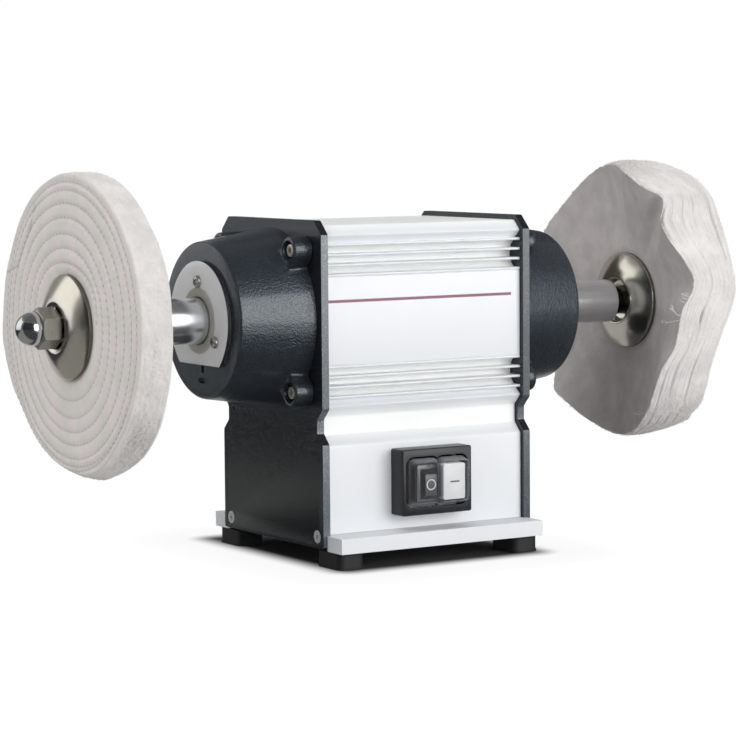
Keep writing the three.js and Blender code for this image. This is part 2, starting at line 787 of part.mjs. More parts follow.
function switchFrame() {
  const halfX = frameWidth / 2;
  const halfZ = frameHeight / 2;
  const shell = block(-halfX, halfX, frameFront, frameBack, -halfZ, halfZ);
  const hollow = block(-halfX + frameWall, halfX - frameWall, frameFront + frameFrontWall,
    frameBack + overrun, -halfZ + frameWall, halfZ - frameWall);
  const opening = roundedRectangle(windowWidth, windowHeight, bootCorner / 2);
  const window = alongY(opening, frameBack, frameFront - overrun);
  return shell.subtract(hollow).subtract(window);
}
place(switchGroup, "switch_frame", switchFrame(), switchBlack);

// Clear boot: one soft skin over both buttons, lower over stop and prouder over start
function lobe(inset, from, to, width, centreX) {
  const shape = roundedRectangle(width - 2 * inset, bootHeight - 2 * inset, bootCorner - inset);
  return alongY(shape, from, to).translate([centreX, 0, 0]);
}

function switchBoot() {
  const back = frameFront - seatGap;
  const startWidth = bootWidth / 2 - lobeSplit;
  const startCentre = lobeSplit + startWidth / 2;
  const outer = lobe(0, back, back - stopLobeHeight, bootWidth, 0)
    .add(lobe(0, back, back - startLobeHeight, startWidth, startCentre));
  const inner = lobe(bootSkin, back + overrun, back - stopLobeHeight + bootSkin, bootWidth, 0)
    .add(lobe(bootSkin, back + overrun, back - startLobeHeight + bootSkin, startWidth,
      startCentre));
  return outer.subtract(inner);
}
place(switchGroup, "switch_boot", switchBoot(), clearSkin);

// Buttons: a cap on a stem that slides in the module
const capBack = frameFront + buttonSkirt;

function buttonStem() {
  const stemX = stemWidth / 2;
  const stemZ = stemHeight / 2;
  return block(-stemX, stemX, capBack - overrun, capBack + stemLength, -stemZ, stemZ);
}

function stopButton() {
  const cap = alongY(roundedRectangle(buttonWidth, buttonHeight, buttonCorner),
    capBack, frameFront);
  const base = new THREE.Vector2(buttonWidth / 2 - buttonCorner, buttonHeight / 2 - buttonCorner);
  const face = new THREE.Vector2(stopFaceWidth / 2, stopFaceHeight / 2);
  const corners = [];
  for (const [size, y] of [[base, frameFront + buttonSkirt / 2], [face, frameFront - stopRise]]) {
    for (const [x, z] of [[-1, -1], [1, -1], [1, 1], [-1, 1]]) {
      corners.push([x * size.x, y, z * size.y]);
    }
  }
  return cap.add(wasm.Manifold.hull(corners)).add(buttonStem());
}

function startButton() {
  const shape = roundedRectangle(buttonWidth, buttonHeight, buttonCorner);
  return alongY(shape, capBack, frameFront - startRise).add(buttonStem());
}
const stopX = buttonShift - buttonPitch / 2;
const startX = buttonShift + buttonPitch / 2;
place(switchGroup, "stop_button", stopButton(), blackButton).position.x = stopX;
place(switchGroup, "start_button", startButton(), greyButton).position.x = startX;

// Switch module: a block in the wall's cut-out, with a well for each stem
function switchModule() {
  const front = capBack + buttonTravel + slipGap;
  const halfX = moduleWidth / 2;
  const halfZ = moduleHeight / 2;
  let body = block(-halfX, halfX, front, front + moduleDepth, -halfZ, halfZ);
  const wellX = stemWidth / 2 + slipGap;
  const wellZ = stemHeight / 2 + slipGap;
  const wellEnd = capBack + stemLength + buttonTravel + slipGap;
  for (const centre of [stopX, startX]) {
    const well = block(centre - wellX, centre + wellX, front - overrun, wellEnd, -wellZ, wellZ);
    body = body.subtract(well);
  }
  return body;
}
place(switchGroup, "switch_module", switchModule(), moduleBlack);

// The shaft: seat for the rotor, journals for bearings and sleeves, threads for the nuts
function motorShaft() {
  const half = [
    [rotorSeatHalf, rotorSeatRadius], [rotorSeatHalf, shaftRadius],
    [bearingInnerEnd - turnGap, shaftRadius], [bearingInnerEnd - turnGap, journalRadius],
    [flangeShoulder, journalRadius], [flangeShoulder, threadRadius],
    [threadEnd, threadRadius], [threadEnd, 0],
  ];
  const mirrored = half.map(([x, radius]) => [-x, radius]).reverse();
  return turned([...mirrored, ...half], tubeSides);
}
const spindle = new THREE.Group();
spindle.position.z = shaftHeight;
machine.add(spindle);
place(spindle, "motor_shaft", motorShaft(), darkSteel);
const rotorOuter = statorInner - airGap;
const rotorBore = holeRadius(rotorSeatRadius, slipGap, tubeSides);
place(spindle, "rotor_core", ring(rotorBore, rotorOuter, -rotorHalf, rotorHalf, tubeSides),
  lamination);

// A clamping flange with its face at zero: flat rim, cone and a deep round mouth
function flange() {
  const bore = holeRadius(threadRadius, slipGap, ringSides);
  const mouthInner = flangeMouthRadius - flangeMouthWall;
  return turned([
    [-flangeWeb, bore], [-flangeWeb, mouthInner], [-flangeLength, mouthInner],
    [-flangeLength, flangeMouthRadius], [-flangeRim, flangeRadius - flangeMouthWall / 2],
    [-flangeRim, flangeRadius], [0, flangeRadius], [0, bore], [-flangeWeb, bore],
  ], tubeSides);
}

// A hexagon with a flat to the front and its corners turned off at one or both ends
function hexBlock(from, to, bothEnds) {
  const hex = rod(nutCorner, from, to, hexSides).rotate([hexTurn, 0, 0]);
  const low = bothEnds ? nutFlats / 2 : nutCorner;
  const guard = turned([
    [from, 0], [from, low], [from + nutChamfer, nutCorner], [to - nutChamfer, nutCorner],
    [to, nutFlats / 2], [to, 0],
  ], ringSides);
  return hex.intersect(guard);
}

function capNut(from) {
  const hexEnd = from + capNutHexHeight;
  const domeStart = hexEnd + capNutNeck;
  const profile = [[hexEnd - overrun, 0], [hexEnd - overrun, capNutDome], [domeStart, capNutDome]];
  for (let step = 1; step <= domeSteps; step += 1) {
    const angle = (step / domeSteps) * (Math.PI / 2);
    const radius = step === domeSteps ? 0 : capNutDome * Math.cos(angle);
    profile.push([domeStart + capNutDome * Math.sin(angle), radius]);
  }
  const dome = turned(profile, ringSides);
  const tap = rod(holeRadius(threadRadius, slipGap, ringSides), from - overrun, from + tapDepth,
    ringSides);
  return hexBlock(from, hexEnd, false).add(dome).subtract(tap);
}

// Everything that turns at one end, apart from the buff
function turningEnd(side) {
  const end = endGroup(side);
  const raceBore = holeRadius(journalRadius, seatGap, ringSides);
  const innerRace = ring(raceBore, journalRadius + bearingInnerWall, bearingInnerEnd,
    bearingOuterEnd, ringSides);
  place(end, `${side}_bearing_inner_race`, innerRace, chromePlate);
  const sleeve = ring(raceBore, sleeveRadius, sleeveStart, sleeveEnd, tubeSides);
  place(end, `${side}_spacer_sleeve`, sleeve, satinSteel);
  place(end, `${side}_inner_flange`, flange(), nickel).position.x = innerFlangeFace;
  const outerFlange = place(end, `${side}_outer_flange`, flange(), nickel);
  outerFlange.position.x = outerFlangeFace;
  outerFlange.rotation.z = Math.PI;
  const bore = rod(holeRadius(threadRadius, slipGap, ringSides), jamNutStart - overrun,
    jamNutStart + jamNutHeight + overrun, ringSides);
  const jamNut = hexBlock(jamNutStart, jamNutStart + jamNutHeight, true).subtract(bore);
  place(end, `${side}_jam_nut`, jamNut, zincPlate);
  place(end, `${side}_cap_nut`, capNut(capNutStart), chromePlate);
}
turningEnd("left");
turningEnd("right");

// The stitched buff: crowned faces with a sewn channel at each row, and a rounded rim
function stitchedBuff() {
  const hubInner = innerFlangeFace + slipGap;
  const hubOuter = outerFlangeFace - slipGap;
  const bore = holeRadius(threadRadius, buffBore - threadRadius, stitchedSides);
  const innerFace = hubInner - stitchedSwellIn;
  const outerFace = hubOuter + stitchedSwellOut;
  const face = [];
  for (let row = 0; row < stitchRows; row += 1) {
    const radius = stitchStart + row * stitchPitch;
    face.push([radius, stitchDepth], [radius + stitchPitch / 2, 0]);
  }
  const outer = [[hubOuter, bore], [hubOuter, buffShoulder]];
  outer.push(...face.map(([radius, depth]) => [outerFace - depth, radius]));
  outer.push([outerFace - rimRound, buffRadius]);
  const inner = [[innerFace + rimRound, buffRadius]];
  inner.push(...face.map(([radius, depth]) => [innerFace + depth, radius]).reverse());
  inner.push([hubInner, buffShoulder], [hubInner, bore], [hubOuter, bore]);
  return turned([...outer, ...inner].reverse(), stitchedSides);
}
place(endGroup("left"), "left_stitched_buff", stitchedBuff(), cotton);

// The loose buff: flat at the flanges, spread and folded at the rim, and leaning to the front
function looseBuff() {
  const hubInner = innerFlangeFace + slipGap;
  const hubOuter = outerFlangeFace - slipGap;
  const bore = holeRadius(threadRadius, buffBore - threadRadius, looseSides);
  const positions = [];
  for (let side = 0; side < looseSides; side += 1) {
    const angle = (side / looseSides) * Math.PI * 2;
    const wave = Math.sin(looseFolds * angle) + Math.sin((looseFolds - 2) * angle + 1) / 2;
    const inner = hubInner - looseSpreadIn - looseInnerLean * Math.cos(angle - looseLeanAngle)
      + looseInnerFold * wave;
    const outer = hubOuter + looseSpreadOut + looseOuterLean * Math.cos(angle - looseOuterAngle)
      + looseOuterFold * Math.sin((looseFolds - 1) * angle + 2);
    const rim = looseRadius + looseRimRipple * Math.sin(looseFolds * angle + 1);
    const profile = [
      [hubInner, bore], [hubInner, buffShoulder], [(hubInner + inner) / 2, (buffShoulder + rim) / 2],
      [inner, rim - rimRound], [inner + rimRound, rim], [outer - rimRound, rim],
      [outer, rim - rimRound], [(hubOuter + outer) / 2, (buffShoulder + rim) / 2],
      [hubOuter, buffShoulder], [hubOuter, bore],
    ];
    for (const [x, radius] of profile) {
      positions.push(x, -radius * Math.cos(angle), radius * Math.sin(angle));
    }
  }
  const count = positions.length / 3 / looseSides;
  const index = [];
  for (let side = 0; side < looseSides; side += 1) {
    for (let point = 0; point < count; point += 1) {
      const here = side * count + point;
      const next = side * count + ((point + 1) % count);
      const there = ((side + 1) % looseSides) * count + point;
      const beyond = ((side + 1) % looseSides) * count + ((point + 1) % count);
      index.push(here, next, there, next, beyond, there);
    }
  }
  const geometry = new THREE.BufferGeometry();
  geometry.setAttribute("position", new THREE.Float32BufferAttribute(positions, 3));
  geometry.setIndex(index);
  return solid(geometry);
}
place(endGroup("right"), "right_loose_buff", looseBuff(), looseCotton);

export default machine;
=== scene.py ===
# A bench polishing machine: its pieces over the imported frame, a soft studio round it, the camera
import random
from math import acos, asin, cos, exp, hypot, pi, radians, sin, sqrt

import bmesh
import bpy
from mathutils import Matrix, Vector, noise


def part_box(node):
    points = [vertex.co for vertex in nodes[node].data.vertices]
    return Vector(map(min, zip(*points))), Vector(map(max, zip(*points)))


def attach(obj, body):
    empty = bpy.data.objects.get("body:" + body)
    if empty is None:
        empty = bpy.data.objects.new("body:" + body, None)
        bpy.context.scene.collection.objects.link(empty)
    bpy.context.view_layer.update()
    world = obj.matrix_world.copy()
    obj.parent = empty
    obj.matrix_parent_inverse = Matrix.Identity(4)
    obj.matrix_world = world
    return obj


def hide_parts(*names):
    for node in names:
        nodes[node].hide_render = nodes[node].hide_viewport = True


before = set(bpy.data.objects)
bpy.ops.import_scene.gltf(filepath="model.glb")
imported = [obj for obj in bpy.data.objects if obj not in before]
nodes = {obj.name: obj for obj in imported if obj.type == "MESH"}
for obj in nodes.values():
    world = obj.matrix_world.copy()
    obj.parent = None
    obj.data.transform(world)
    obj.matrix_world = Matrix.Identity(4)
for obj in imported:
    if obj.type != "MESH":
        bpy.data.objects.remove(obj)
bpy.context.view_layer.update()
mm = 0.001

# The camera stands to the left of the front, a little above the shaft, with a long lens as in the
# photograph, so that the left buff's face and the housing's front both show.
camera_place = Vector((-1075.8, -1721.9, 301.0)) * mm
camera_yaw = radians(31.847)
camera_pitch = radians(4.945)
camera_roll = radians(-0.437)
camera_focal_pixels = 2924.93
picture_pixels = 736
forward = Vector((sin(camera_yaw) * cos(camera_pitch), cos(camera_yaw) * cos(camera_pitch),
                  -sin(camera_pitch)))
level_right = Vector((cos(camera_yaw), -sin(camera_yaw), 0))
level_up = level_right.cross(forward)
camera_right = level_right * cos(camera_roll) + level_up * sin(camera_roll)
camera_up = -level_right * sin(camera_roll) + level_up * cos(camera_roll)
camera_data = bpy.data.cameras.new("view_camera")
camera_data.sensor_width = 36
camera_data.lens = camera_focal_pixels * camera_data.sensor_width / picture_pixels
camera_data.clip_end = 60


def placed(name, data):
    made = bpy.data.objects.new(name, data)
    bpy.context.scene.collection.objects.link(made)
    return made


camera = placed("view_camera", camera_data)
turn = Matrix((camera_right, camera_up, -forward)).transposed().to_4x4()
camera.matrix_world = Matrix.Translation(camera_place) @ turn
bpy.context.scene.camera = camera
bpy.context.scene.view_settings.view_transform = "Standard"


# The studio: a white floor that keeps the machine's shadow and darkens it with a painted shadow
# round the base, soft boxes in front, above and to the left, and dark cards that only polished
# metal sees, as a photographer stands them for chrome.
def plug(tree, value, socket):
    """A plain value, a socket or a node's first output, put into a socket"""
    if isinstance(value, bpy.types.Node):
        value = value.outputs[0]
    if isinstance(value, bpy.types.NodeSocket):
        tree.links.new(value, socket)
    elif socket.type == "RGBA":
        socket.default_value = (*value, 1)
    else:
        socket.default_value = value


def add_node(tree, kind, inputs=None, **settings):
    made = tree.nodes.new(kind)
    for key, value in settings.items():
        setattr(made, key, value)
    for key, value in (inputs or {}).items():
        plug(tree, value, made.inputs[key])
    return made


def calc(tree, operation, *values):
    return add_node(tree, "ShaderNodeMath", dict(enumerate(values)), operation=operation)


def vector_calc(tree, operation, *values):
    return add_node(tree, "ShaderNodeVectorMath", dict(enumerate(values)), operation=operation)


def mapped(tree, value, reach=(0, 1), to=(0, 1), **settings):
    return add_node(tree, "ShaderNodeMapRange", {"Value": value, "From Min": reach[0],
                    "From Max": reach[1], "To Min": to[0], "To Max": to[1]}, **settings)


def object_place(tree):
    return add_node(tree, "ShaderNodeTexCoord").outputs["Object"]


def seen_rays(tree, mirrored=True):
    path = add_node(tree, "ShaderNodeLightPath").outputs
    seen = calc(tree, "MAXIMUM", path["Is Camera Ray"], path["Is Transmission Ray"])
    return calc(tree, "MAXIMUM", seen, path["Is Glossy Ray"]) if mirrored else seen


world_fill = 0.21
backdrop_white = 1.02
world = bpy.data.worlds.new("studio_air")
bpy.context.scene.world = world
world.use_nodes = True
tree = world.node_tree
sky = tree.nodes["Background"].inputs
plug(tree, (1, 1, 1), sky["Color"])
plug(tree, mapped(tree, seen_rays(tree, False), to=(world_fill, backdrop_white)), sky["Strength"])


def stage_sheet(name, corners, material, only_glossy=True):
    mesh = bpy.data.meshes.new(name)
    mesh.from_pydata(corners, [], [tuple(range(len(corners)))])
    mesh.materials.append(material)
    sheet = placed(name, mesh)
    if only_glossy:
        for rays in ("camera", "diffuse", "shadow", "transmission", "volume_scatter"):
            setattr(sheet, f"visible_{rays}", False)


floor_level = -0.0002
floor_reach = 14
shadow_centre = (0, 0.009, 0)
shadow_half = (0.072, 0.088, 1.0)
shadow_edge = 0.026
shadow_end = 0.09
floor_paint = bpy.data.materials.new("studio_floor")
floor_paint.use_nodes = True
tree = floor_paint.node_tree
matt = tree.nodes["Principled BSDF"]
# Painted shadow: the camera sees the floor as a near-black 0.08 while bounced light sees 0.66, so
# inside the box round the base the floor is painted dark, and beyond it the floor glows white.
direct = add_node(tree, "ShaderNodeLightPath").outputs["Is Camera Ray"]
plug(tree, mapped(tree, direct, to=(0.66, 0.08)), matt.inputs["Base Color"])
plug(tree, 0.9, matt.inputs["Roughness"])
plug(tree, 0.0, matt.inputs["Specular IOR Level"])
glow = add_node(tree, "ShaderNodeEmission", {"Color": (1, 1, 1), "Strength": backdrop_white})
beyond = vector_calc(tree, "SUBTRACT", object_place(tree), shadow_centre)
beyond = vector_calc(tree, "SUBTRACT", vector_calc(tree, "ABSOLUTE", beyond), shadow_half)
beyond = vector_calc(tree, "MAXIMUM", beyond, (0, 0, 0))
away = vector_calc(tree, "LENGTH", beyond).outputs["Value"]
near = mapped(tree, away, (0.0, shadow_edge), (0.0, 0.93), interpolation_type="SMOOTHSTEP")
far = mapped(tree, away, (shadow_edge, shadow_end), (0.0, 0.07), interpolation_type="SMOOTHSTEP")
share = calc(tree, "MULTIPLY", calc(tree, "ADD", near, far), seen_rays(tree))
mixed = add_node(tree, "ShaderNodeMixShader", {0: share, 1: matt, 2: glow})
plug(tree, mixed, tree.nodes["Material Output"].inputs["Surface"])
stage_sheet("studio_floor", [(u * floor_reach, v * floor_reach, floor_level) for u, v in
                             ((-1, -1), (1, -1), (1, 1), (-1, 1))], floor_paint, False)


def card_paint(name, tone):
    paint = bpy.data.materials.new(name)
    paint.use_nodes = True
    tree = paint.node_tree
    glow = add_node(tree, "ShaderNodeEmission", {"Color": tone, "Strength": 1.0})
    plug(tree, glow, tree.nodes["Material Output"].inputs["Surface"])
    return paint


def standing_card(name, first, last, distance, low, high, tone):
    """A bent card between two angles, counted from the front to the left"""
    paint = card_paint(name, tone)
    steps = 6
    for step in range(steps):
        ends = []
        for share in (step / steps, (step + 1) / steps):
            angle = radians(first + (last - first) * share)
            ends.append((-distance * sin(angle), -distance * cos(angle)))
        (ax, ay), (bx, by) = ends
        stage_sheet(f"{name}_{step + 1}", [(ax, ay, low), (bx, by, low), (bx, by, high),
                                           (ax, ay, high)], paint)


for card in (("front_bright_card", 14, -50, 2.4, 0.0, 1.65, (4.2, 4.2, 4.15)),
             ("left_dark_card", 14, 94, 3.2, 0.0, 3.0, (0.035, 0.037, 0.04)),
             ("left_edge_card", 94, 106, 3.2, 0.0, 3.0, (0.24, 0.24, 0.235)),
             ("rear_left_low_card", 106, 158, 2.6, 0.0, 0.45, (1.02, 1.04, 1.09)),
             ("rear_low_card", 158, 178, 2.6, 0.0, 0.45, (0.20, 0.20, 0.19)),
             ("rear_left_card", 106, 154, 2.6, 0.45, 2.2, (1.35, 1.32, 1.24)),
             ("rear_olive_card", 154, 178, 2.6, 0.45, 2.2, (0.30, 0.30, 0.27)),
             ("rear_card", 178, 204, 2.6, 0.0, 2.2, (0.42, 0.42, 0.40)),
             ("rear_right_low_card", 204, 226, 2.6, 0.0, 0.5, (0.90, 0.90, 0.86)),
             ("rear_right_card", 204, 242, 2.6, 0.5, 3.2, (0.07, 0.07, 0.075)),
             ("right_dark_card", -66, -120, 3.2, 0.0, 2.2, (0.10, 0.10, 0.105))):
    standing_card(*card)
for name, (ax, ay), (bx, by), height, tone in (
        ("ceiling_card", (-2.6, -2.6), (2.6, 0.9), 3.0, (0.15, 0.15, 0.14)),
        ("dark_floor_card", (-3.0, -3.0), (3.0, 0.12), 0.001, (0.07, 0.07, 0.068)),
        ("near_left_floor_card", (-3.0, -0.04), (-0.26, 0.33), 0.0015, (0.30, 0.295, 0.27)),
        ("rear_left_floor_card", (-3.0, 0.12), (-0.28, 2.5), 0.001, (0.035, 0.036, 0.04)),
        ("rear_right_floor_card", (-0.28, 0.12), (3.0, 2.5), 0.001, (0.50, 0.50, 0.46))):
    stage_sheet(name, [(ax, ay, height), (bx, ay, height), (bx, by, height), (ax, by, height)],
                card_paint(name, tone))
lit_floor = [(-reach * sin(radians(angle)), -reach * cos(radians(angle)), 0.002)
             for angle, reach in ((14, 0.62), (-50, 0.62), (-50, 2.38), (14, 2.38))]
stage_sheet("lit_floor_card", lit_floor, card_paint("lit_floor_card", (1.2, 1.2, 1.18)))
stage_sheet("right_flag_card", [(0.13, 0.058, 0.168), (0.205, 0.058, 0.168),
                                (0.205, 0.058, 0.227), (0.13, 0.058, 0.227)],
            card_paint("right_flag_card", (0.05, 0.053, 0.042)))


def soft_box(name, place, target, width, height, power, tone=(1, 1, 1)):
    """A lamp that only lights: what metal mirrors are the cards"""
    lamp = bpy.data.lights.new(name, "AREA")
    lamp.shape = "RECTANGLE"
    lamp.size = width
    lamp.size_y = height
    lamp.energy = power
    lamp.color = tone
    box = placed(name, lamp)
    aim = (Vector(target) - Vector(place)).to_track_quat("-Z", "Y")
    box.matrix_world = Matrix.Translation(place) @ aim.to_matrix().to_4x4()
    box.visible_glossy = False


soft_box("front_soft_box", (0.55, -1.95, 0.58), (0, 0, 0.13), 2.1, 1.1, 28.5, (1.0, 0.995, 0.985))
soft_box("top_soft_box", (-0.35, -0.35, 2.3), (0, 0, 0.1), 1.5, 1.3, 11.2)
soft_box("left_soft_box", (-1.75, 0.05, 1.35), (-0.236, 0, 0.15), 1.1, 1.1, 18.5,
         (1.0, 0.995, 0.99))
soft_box("rear_soft_box", (1.7, 1.7, 1.3), (0, 0, 0.15), 1.2, 1.2, 22)


# Housing profile: extruded aluminium in white powder coat, four cooling ribs over and four under
# the flat front field, a waist below them, and a plain foot that stands on the base plate.
def shader_group(name, inputs, outputs):
    """A group of nodes with named inputs, and what it takes in and gives out"""
    group = bpy.data.node_groups.new(name, "ShaderNodeTree")
    for label, value in inputs.items():
        kind = "NodeSocketVector" if isinstance(value, tuple) else "NodeSocketFloat"
        made = group.interface.new_socket(label, in_out="INPUT", socket_type=kind)
        made.default_value = value
    for label in outputs:
        group.interface.new_socket(label, in_out="OUTPUT", socket_type="NodeSocketFloat")
    return (group, add_node(group, "NodeGroupInput").outputs,
            add_node(group, "NodeGroupOutput").inputs)


def placed_group(tree, group, inputs):
    return add_node(tree, "ShaderNodeGroup", inputs, node_tree=group).outputs


def mixed_colour(tree, share, first, second):
    return add_node(tree, "ShaderNodeMix", {0: share, 6: first, 7: second},
                    data_type="RGBA").outputs[2]


def grainy(tree, place, scale, detail, roughness=0.5):
    return add_node(tree, "ShaderNodeTexNoise", {"Vector": place, "Scale": scale, "Detail": detail,
                                                 "Roughness": roughness})


def bare_material(name, colour, roughness, metallic, extra=None):
    """extra holds the shader's other inputs"""
    material = bpy.data.materials.new(name)
    material.use_nodes = True
    tree = material.node_tree
    shader = tree.nodes["Principled BSDF"].inputs
    values = {"Base Color": colour, "Roughness": roughness, "Metallic": metallic, **(extra or {})}
    for key, value in values.items():
        plug(tree, value, shader[key])
    return material, tree, shader


# Orange peel and faint clouding of a sprayed or moulded skin
skin_grain, given, gives = shader_group(
    "skin_grain", {"Place": (0, 0, 0), "Grain Scale": 900.0, "Cloud Scale": 18.0},
    ("Height", "Cloud"))
plug(skin_grain, grainy(skin_grain, given["Place"], given["Grain Scale"], 3.0), gives["Height"])
plug(skin_grain, grainy(skin_grain, given["Place"], given["Cloud Scale"], 4.0), gives["Cloud"])


def bumped(tree, shader, height, strength, distance):
    plug(tree, add_node(tree, "ShaderNodeBump", {"Height": height, "Strength": strength,
                                                 "Distance": distance}), shader["Normal"])


def skin_material(name, colour, shade, roughness, metallic=0.0, grain=900.0, cloud=18.0,
                  bump=0.25, depth=0.00004, extra=None):
    material, tree, shader = bare_material(name, colour, roughness, metallic, extra)
    skin = placed_group(tree, skin_grain, {"Place": object_place(tree), "Grain Scale": grain,
                                           "Cloud Scale": cloud})
    plug(tree, mixed_colour(tree, skin["Cloud"], colour, shade), shader["Base Color"])
    rough = mapped(tree, skin["Cloud"], to=(max(roughness - 0.06, 0.02), roughness + 0.08))
    plug(tree, rough, shader["Roughness"])
    bumped(tree, shader, skin["Height"], bump, depth)
    return material


shaft_height = 164.4
profile_half = 63.8
profile_length = 156.2
corner_height = 57.0
waist_half = 56.8
waist_top = -64.0
waist_low = -76.3
rib_first = 30.6
rib_pitch = 6.75
rib_thickness = 1.8
rib_count = 4
scoop_radius = 10.8
scoop_centre = 1.5
stripe_height = 13.2
stripe_half = 1.1
stripe_end = 71.0
groove_mouth = 61.6
groove_floor = 57.0
housing_white = skin_material("housing_white", (0.825, 0.85, 0.885), (0.80, 0.825, 0.86), 0.42,
                              grain=1500.0, cloud=30.0, bump=0.2)
tree = housing_white.node_tree
skin_colour = tree.nodes["Principled BSDF"].inputs["Base Color"]
apart = add_node(tree, "ShaderNodeSeparateXYZ", {0: object_place(tree)}).outputs
rise = calc(tree, "SUBTRACT", apart["Z"], (shaft_height + stripe_height) * mm)
band = mapped(tree, calc(tree, "ABSOLUTE", rise), (stripe_half * mm, (stripe_half - 0.25) * mm))
band = calc(tree, "MULTIPLY", band, calc(tree, "LESS_THAN", apart["Y"], -0.9 * profile_half * mm))
band = calc(tree, "MULTIPLY", band, calc(tree, "LESS_THAN", apart["X"], stripe_end * mm))
# The groove floors between the ribs are painted lighter than the coat, as painted light for the
# light bounced between the ribs.
deep = mapped(tree, calc(tree, "ABSOLUTE", apart["Y"]), (groove_mouth * mm, groove_floor * mm))
groove_painted_light = mixed_colour(tree, deep, skin_colour.links[0].from_socket, (0.965, 0.985, 0.98))
plug(tree, mixed_colour(tree, band, groove_painted_light, (0.205, 0.062, 0.105)), skin_colour)


def mesh_object(name, points, faces, material=None, sharp=35.0):
    """A clean smooth mesh from points in millimetres, with its edges sharp past an angle"""
    mesh = bpy.data.meshes.new(name)
    mesh.from_pydata([(x * mm, y * mm, z * mm) for x, y, z in points], [], faces)
    work = bmesh.new()
    work.from_mesh(mesh)
    bmesh.ops.remove_doubles(work, verts=work.verts, dist=1e-6)
    bmesh.ops.recalc_face_normals(work, faces=work.faces)
    work.to_mesh(mesh)
    work.free()
    mesh.shade_smooth()
    mesh.set_sharp_from_angle(angle=radians(sharp))
    if material:
        mesh.materials.append(material)
    return placed(name, mesh)


def applied(piece, sharp):
    """The piece as its modifiers make it, in a plain mesh"""
    graph = bpy.context.evaluated_depsgraph_get()
    made = bpy.data.meshes.new_from_object(piece.evaluated_get(graph), depsgraph=graph)
    piece.modifiers.clear()
    made.name = piece.name
    piece.data = made
    made.shade_smooth()
    made.set_sharp_from_angle(angle=radians(sharp))
    return piece


def carved(piece, cutters, sharp):
    for cutter in cutters:
        cut = piece.modifiers.new("cut", "BOOLEAN")
        cut.object = cutter
        cut.operation = "DIFFERENCE"
        cut.solver = "EXACT"
    applied(piece, sharp)
    for cutter in cutters:
        bpy.data.objects.remove(cutter)
    return piece


def softened_edges(piece, width, segments, angle, sharp):
    bevel = piece.modifiers.new("edge", "BEVEL")
    bevel.width = width * mm
    bevel.segments = segments
    bevel.limit_method = "ANGLE"
    bevel.angle_limit = radians(angle)
    bevel.harden_normals = False
    return applied(piece, sharp)


def fitted(piece, body, slot, *replaced):
    if replaced:
        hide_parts(*replaced)
    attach(piece, body)
    return piece


def softened(points, radius, steps, closed=True):
    """The same outline with its corners rounded off by about this radius"""
    count = len(points)
    out = []
    for index, here in enumerate(points):
        if not closed and index in (0, count - 1):
            out.append(here)
            continue
        before, after = points[index - 1], points[(index + 1) % count]
        to_before = Vector((before[0] - here[0], before[1] - here[1]))
        to_after = Vector((after[0] - here[0], after[1] - here[1]))
        if to_before.length < 1e-6 or to_after.length < 1e-6:
            continue
        cut = min(radius, 0.45 * to_before.length, 0.45 * to_after.length)
        if abs(to_before.angle(to_after) - pi) < 0.25:
            out.append(here)
            continue
        start = Vector(here) + to_before.normalized() * cut
        end = Vector(here) + to_after.normalized() * cut
        for step in range(steps + 1):
            share = step / steps
            corner = Vector(here)
            spot = start * (1 - share) ** 2 + corner * 2 * share * (1 - share) + end * share ** 2
            out.append((spot.x, spot.y))
    return out


def ring_faces(rings, count, closed=False):
    """Faces between rings of so many points, each ring's points after the one before"""
    faces = []
    for ring in range(rings if closed else rings - 1):
        here, after = ring * count, (ring + 1) % rings * count
        faces += [(here + n, here + (n + 1) % count, after + (n + 1) % count, after + n)
                  for n in range(count)]
    return faces


def end_faces(rings, count):
    return [tuple(range(count)), tuple(range((rings - 1) * count, rings * count))]


def prism_x(name, outline, low, high, material, sharp):
    count = len(outline)
    points = [(x, y, z) for x in (low, high) for y, z in outline]
    near, far = end_faces(2, count)
    return mesh_object(name, points, [near[::-1], far] + ring_faces(2, count), material, sharp)


box_faces = [(0, 1, 3, 2), (4, 6, 7, 5), (0, 4, 5, 1), (2, 3, 7, 6), (0, 2, 6, 4), (1, 5, 7, 3)]


def box_points(low, high):
    (ax, ay, az), (bx, by, bz) = low, high
    return [(x, y, z) for x in (ax, bx) for y in (ay, by) for z in (az, bz)]


def scoop_floor(height):
    middle = rib_first + rib_pitch * (rib_count - 1) / 2
    across = min(abs(height - middle), scoop_radius)
    return profile_half - scoop_centre - sqrt(scoop_radius ** 2 - across ** 2)


def ribbed_side():
    points = softened([(profile_half - 0.4, 10), (profile_half - 0.4, rib_first - 1.3),
                       (profile_half - 0.9, rib_first - 0.9)], 0.3, 2, closed=False)[1:]
    for rib in range(rib_count):
        height = rib_first + rib * rib_pitch
        low, high = height - rib_thickness / 2, height + rib_thickness / 2
        root = scoop_floor(low) if rib else profile_half - 0.9
        past = scoop_floor(high) if rib < rib_count - 1 else profile_half - 5.7
        if rib:
            points += [(root, low - 0.3), (root + 0.3, low)]
        for step in range(9):
            angle = -pi / 2 + pi * step / 8
            points.append((profile_half - rib_thickness / 2 * (1 - cos(angle)),
                           height + rib_thickness / 2 * sin(angle)))
        points.append((past + 0.3, high))
        if rib < rib_count - 1:
            for step in range(9):
                share = (step + 0.5) / 9
                between = high + share * (rib_pitch - rib_thickness)
                points.append((scoop_floor(between), between))
    points += softened([(profile_half - 5.7, corner_height - 5.1),
                        (profile_half, corner_height), (corner_height, profile_half),
                        (40, profile_half)], 1.2, 4, closed=False)[:-1]
    return points


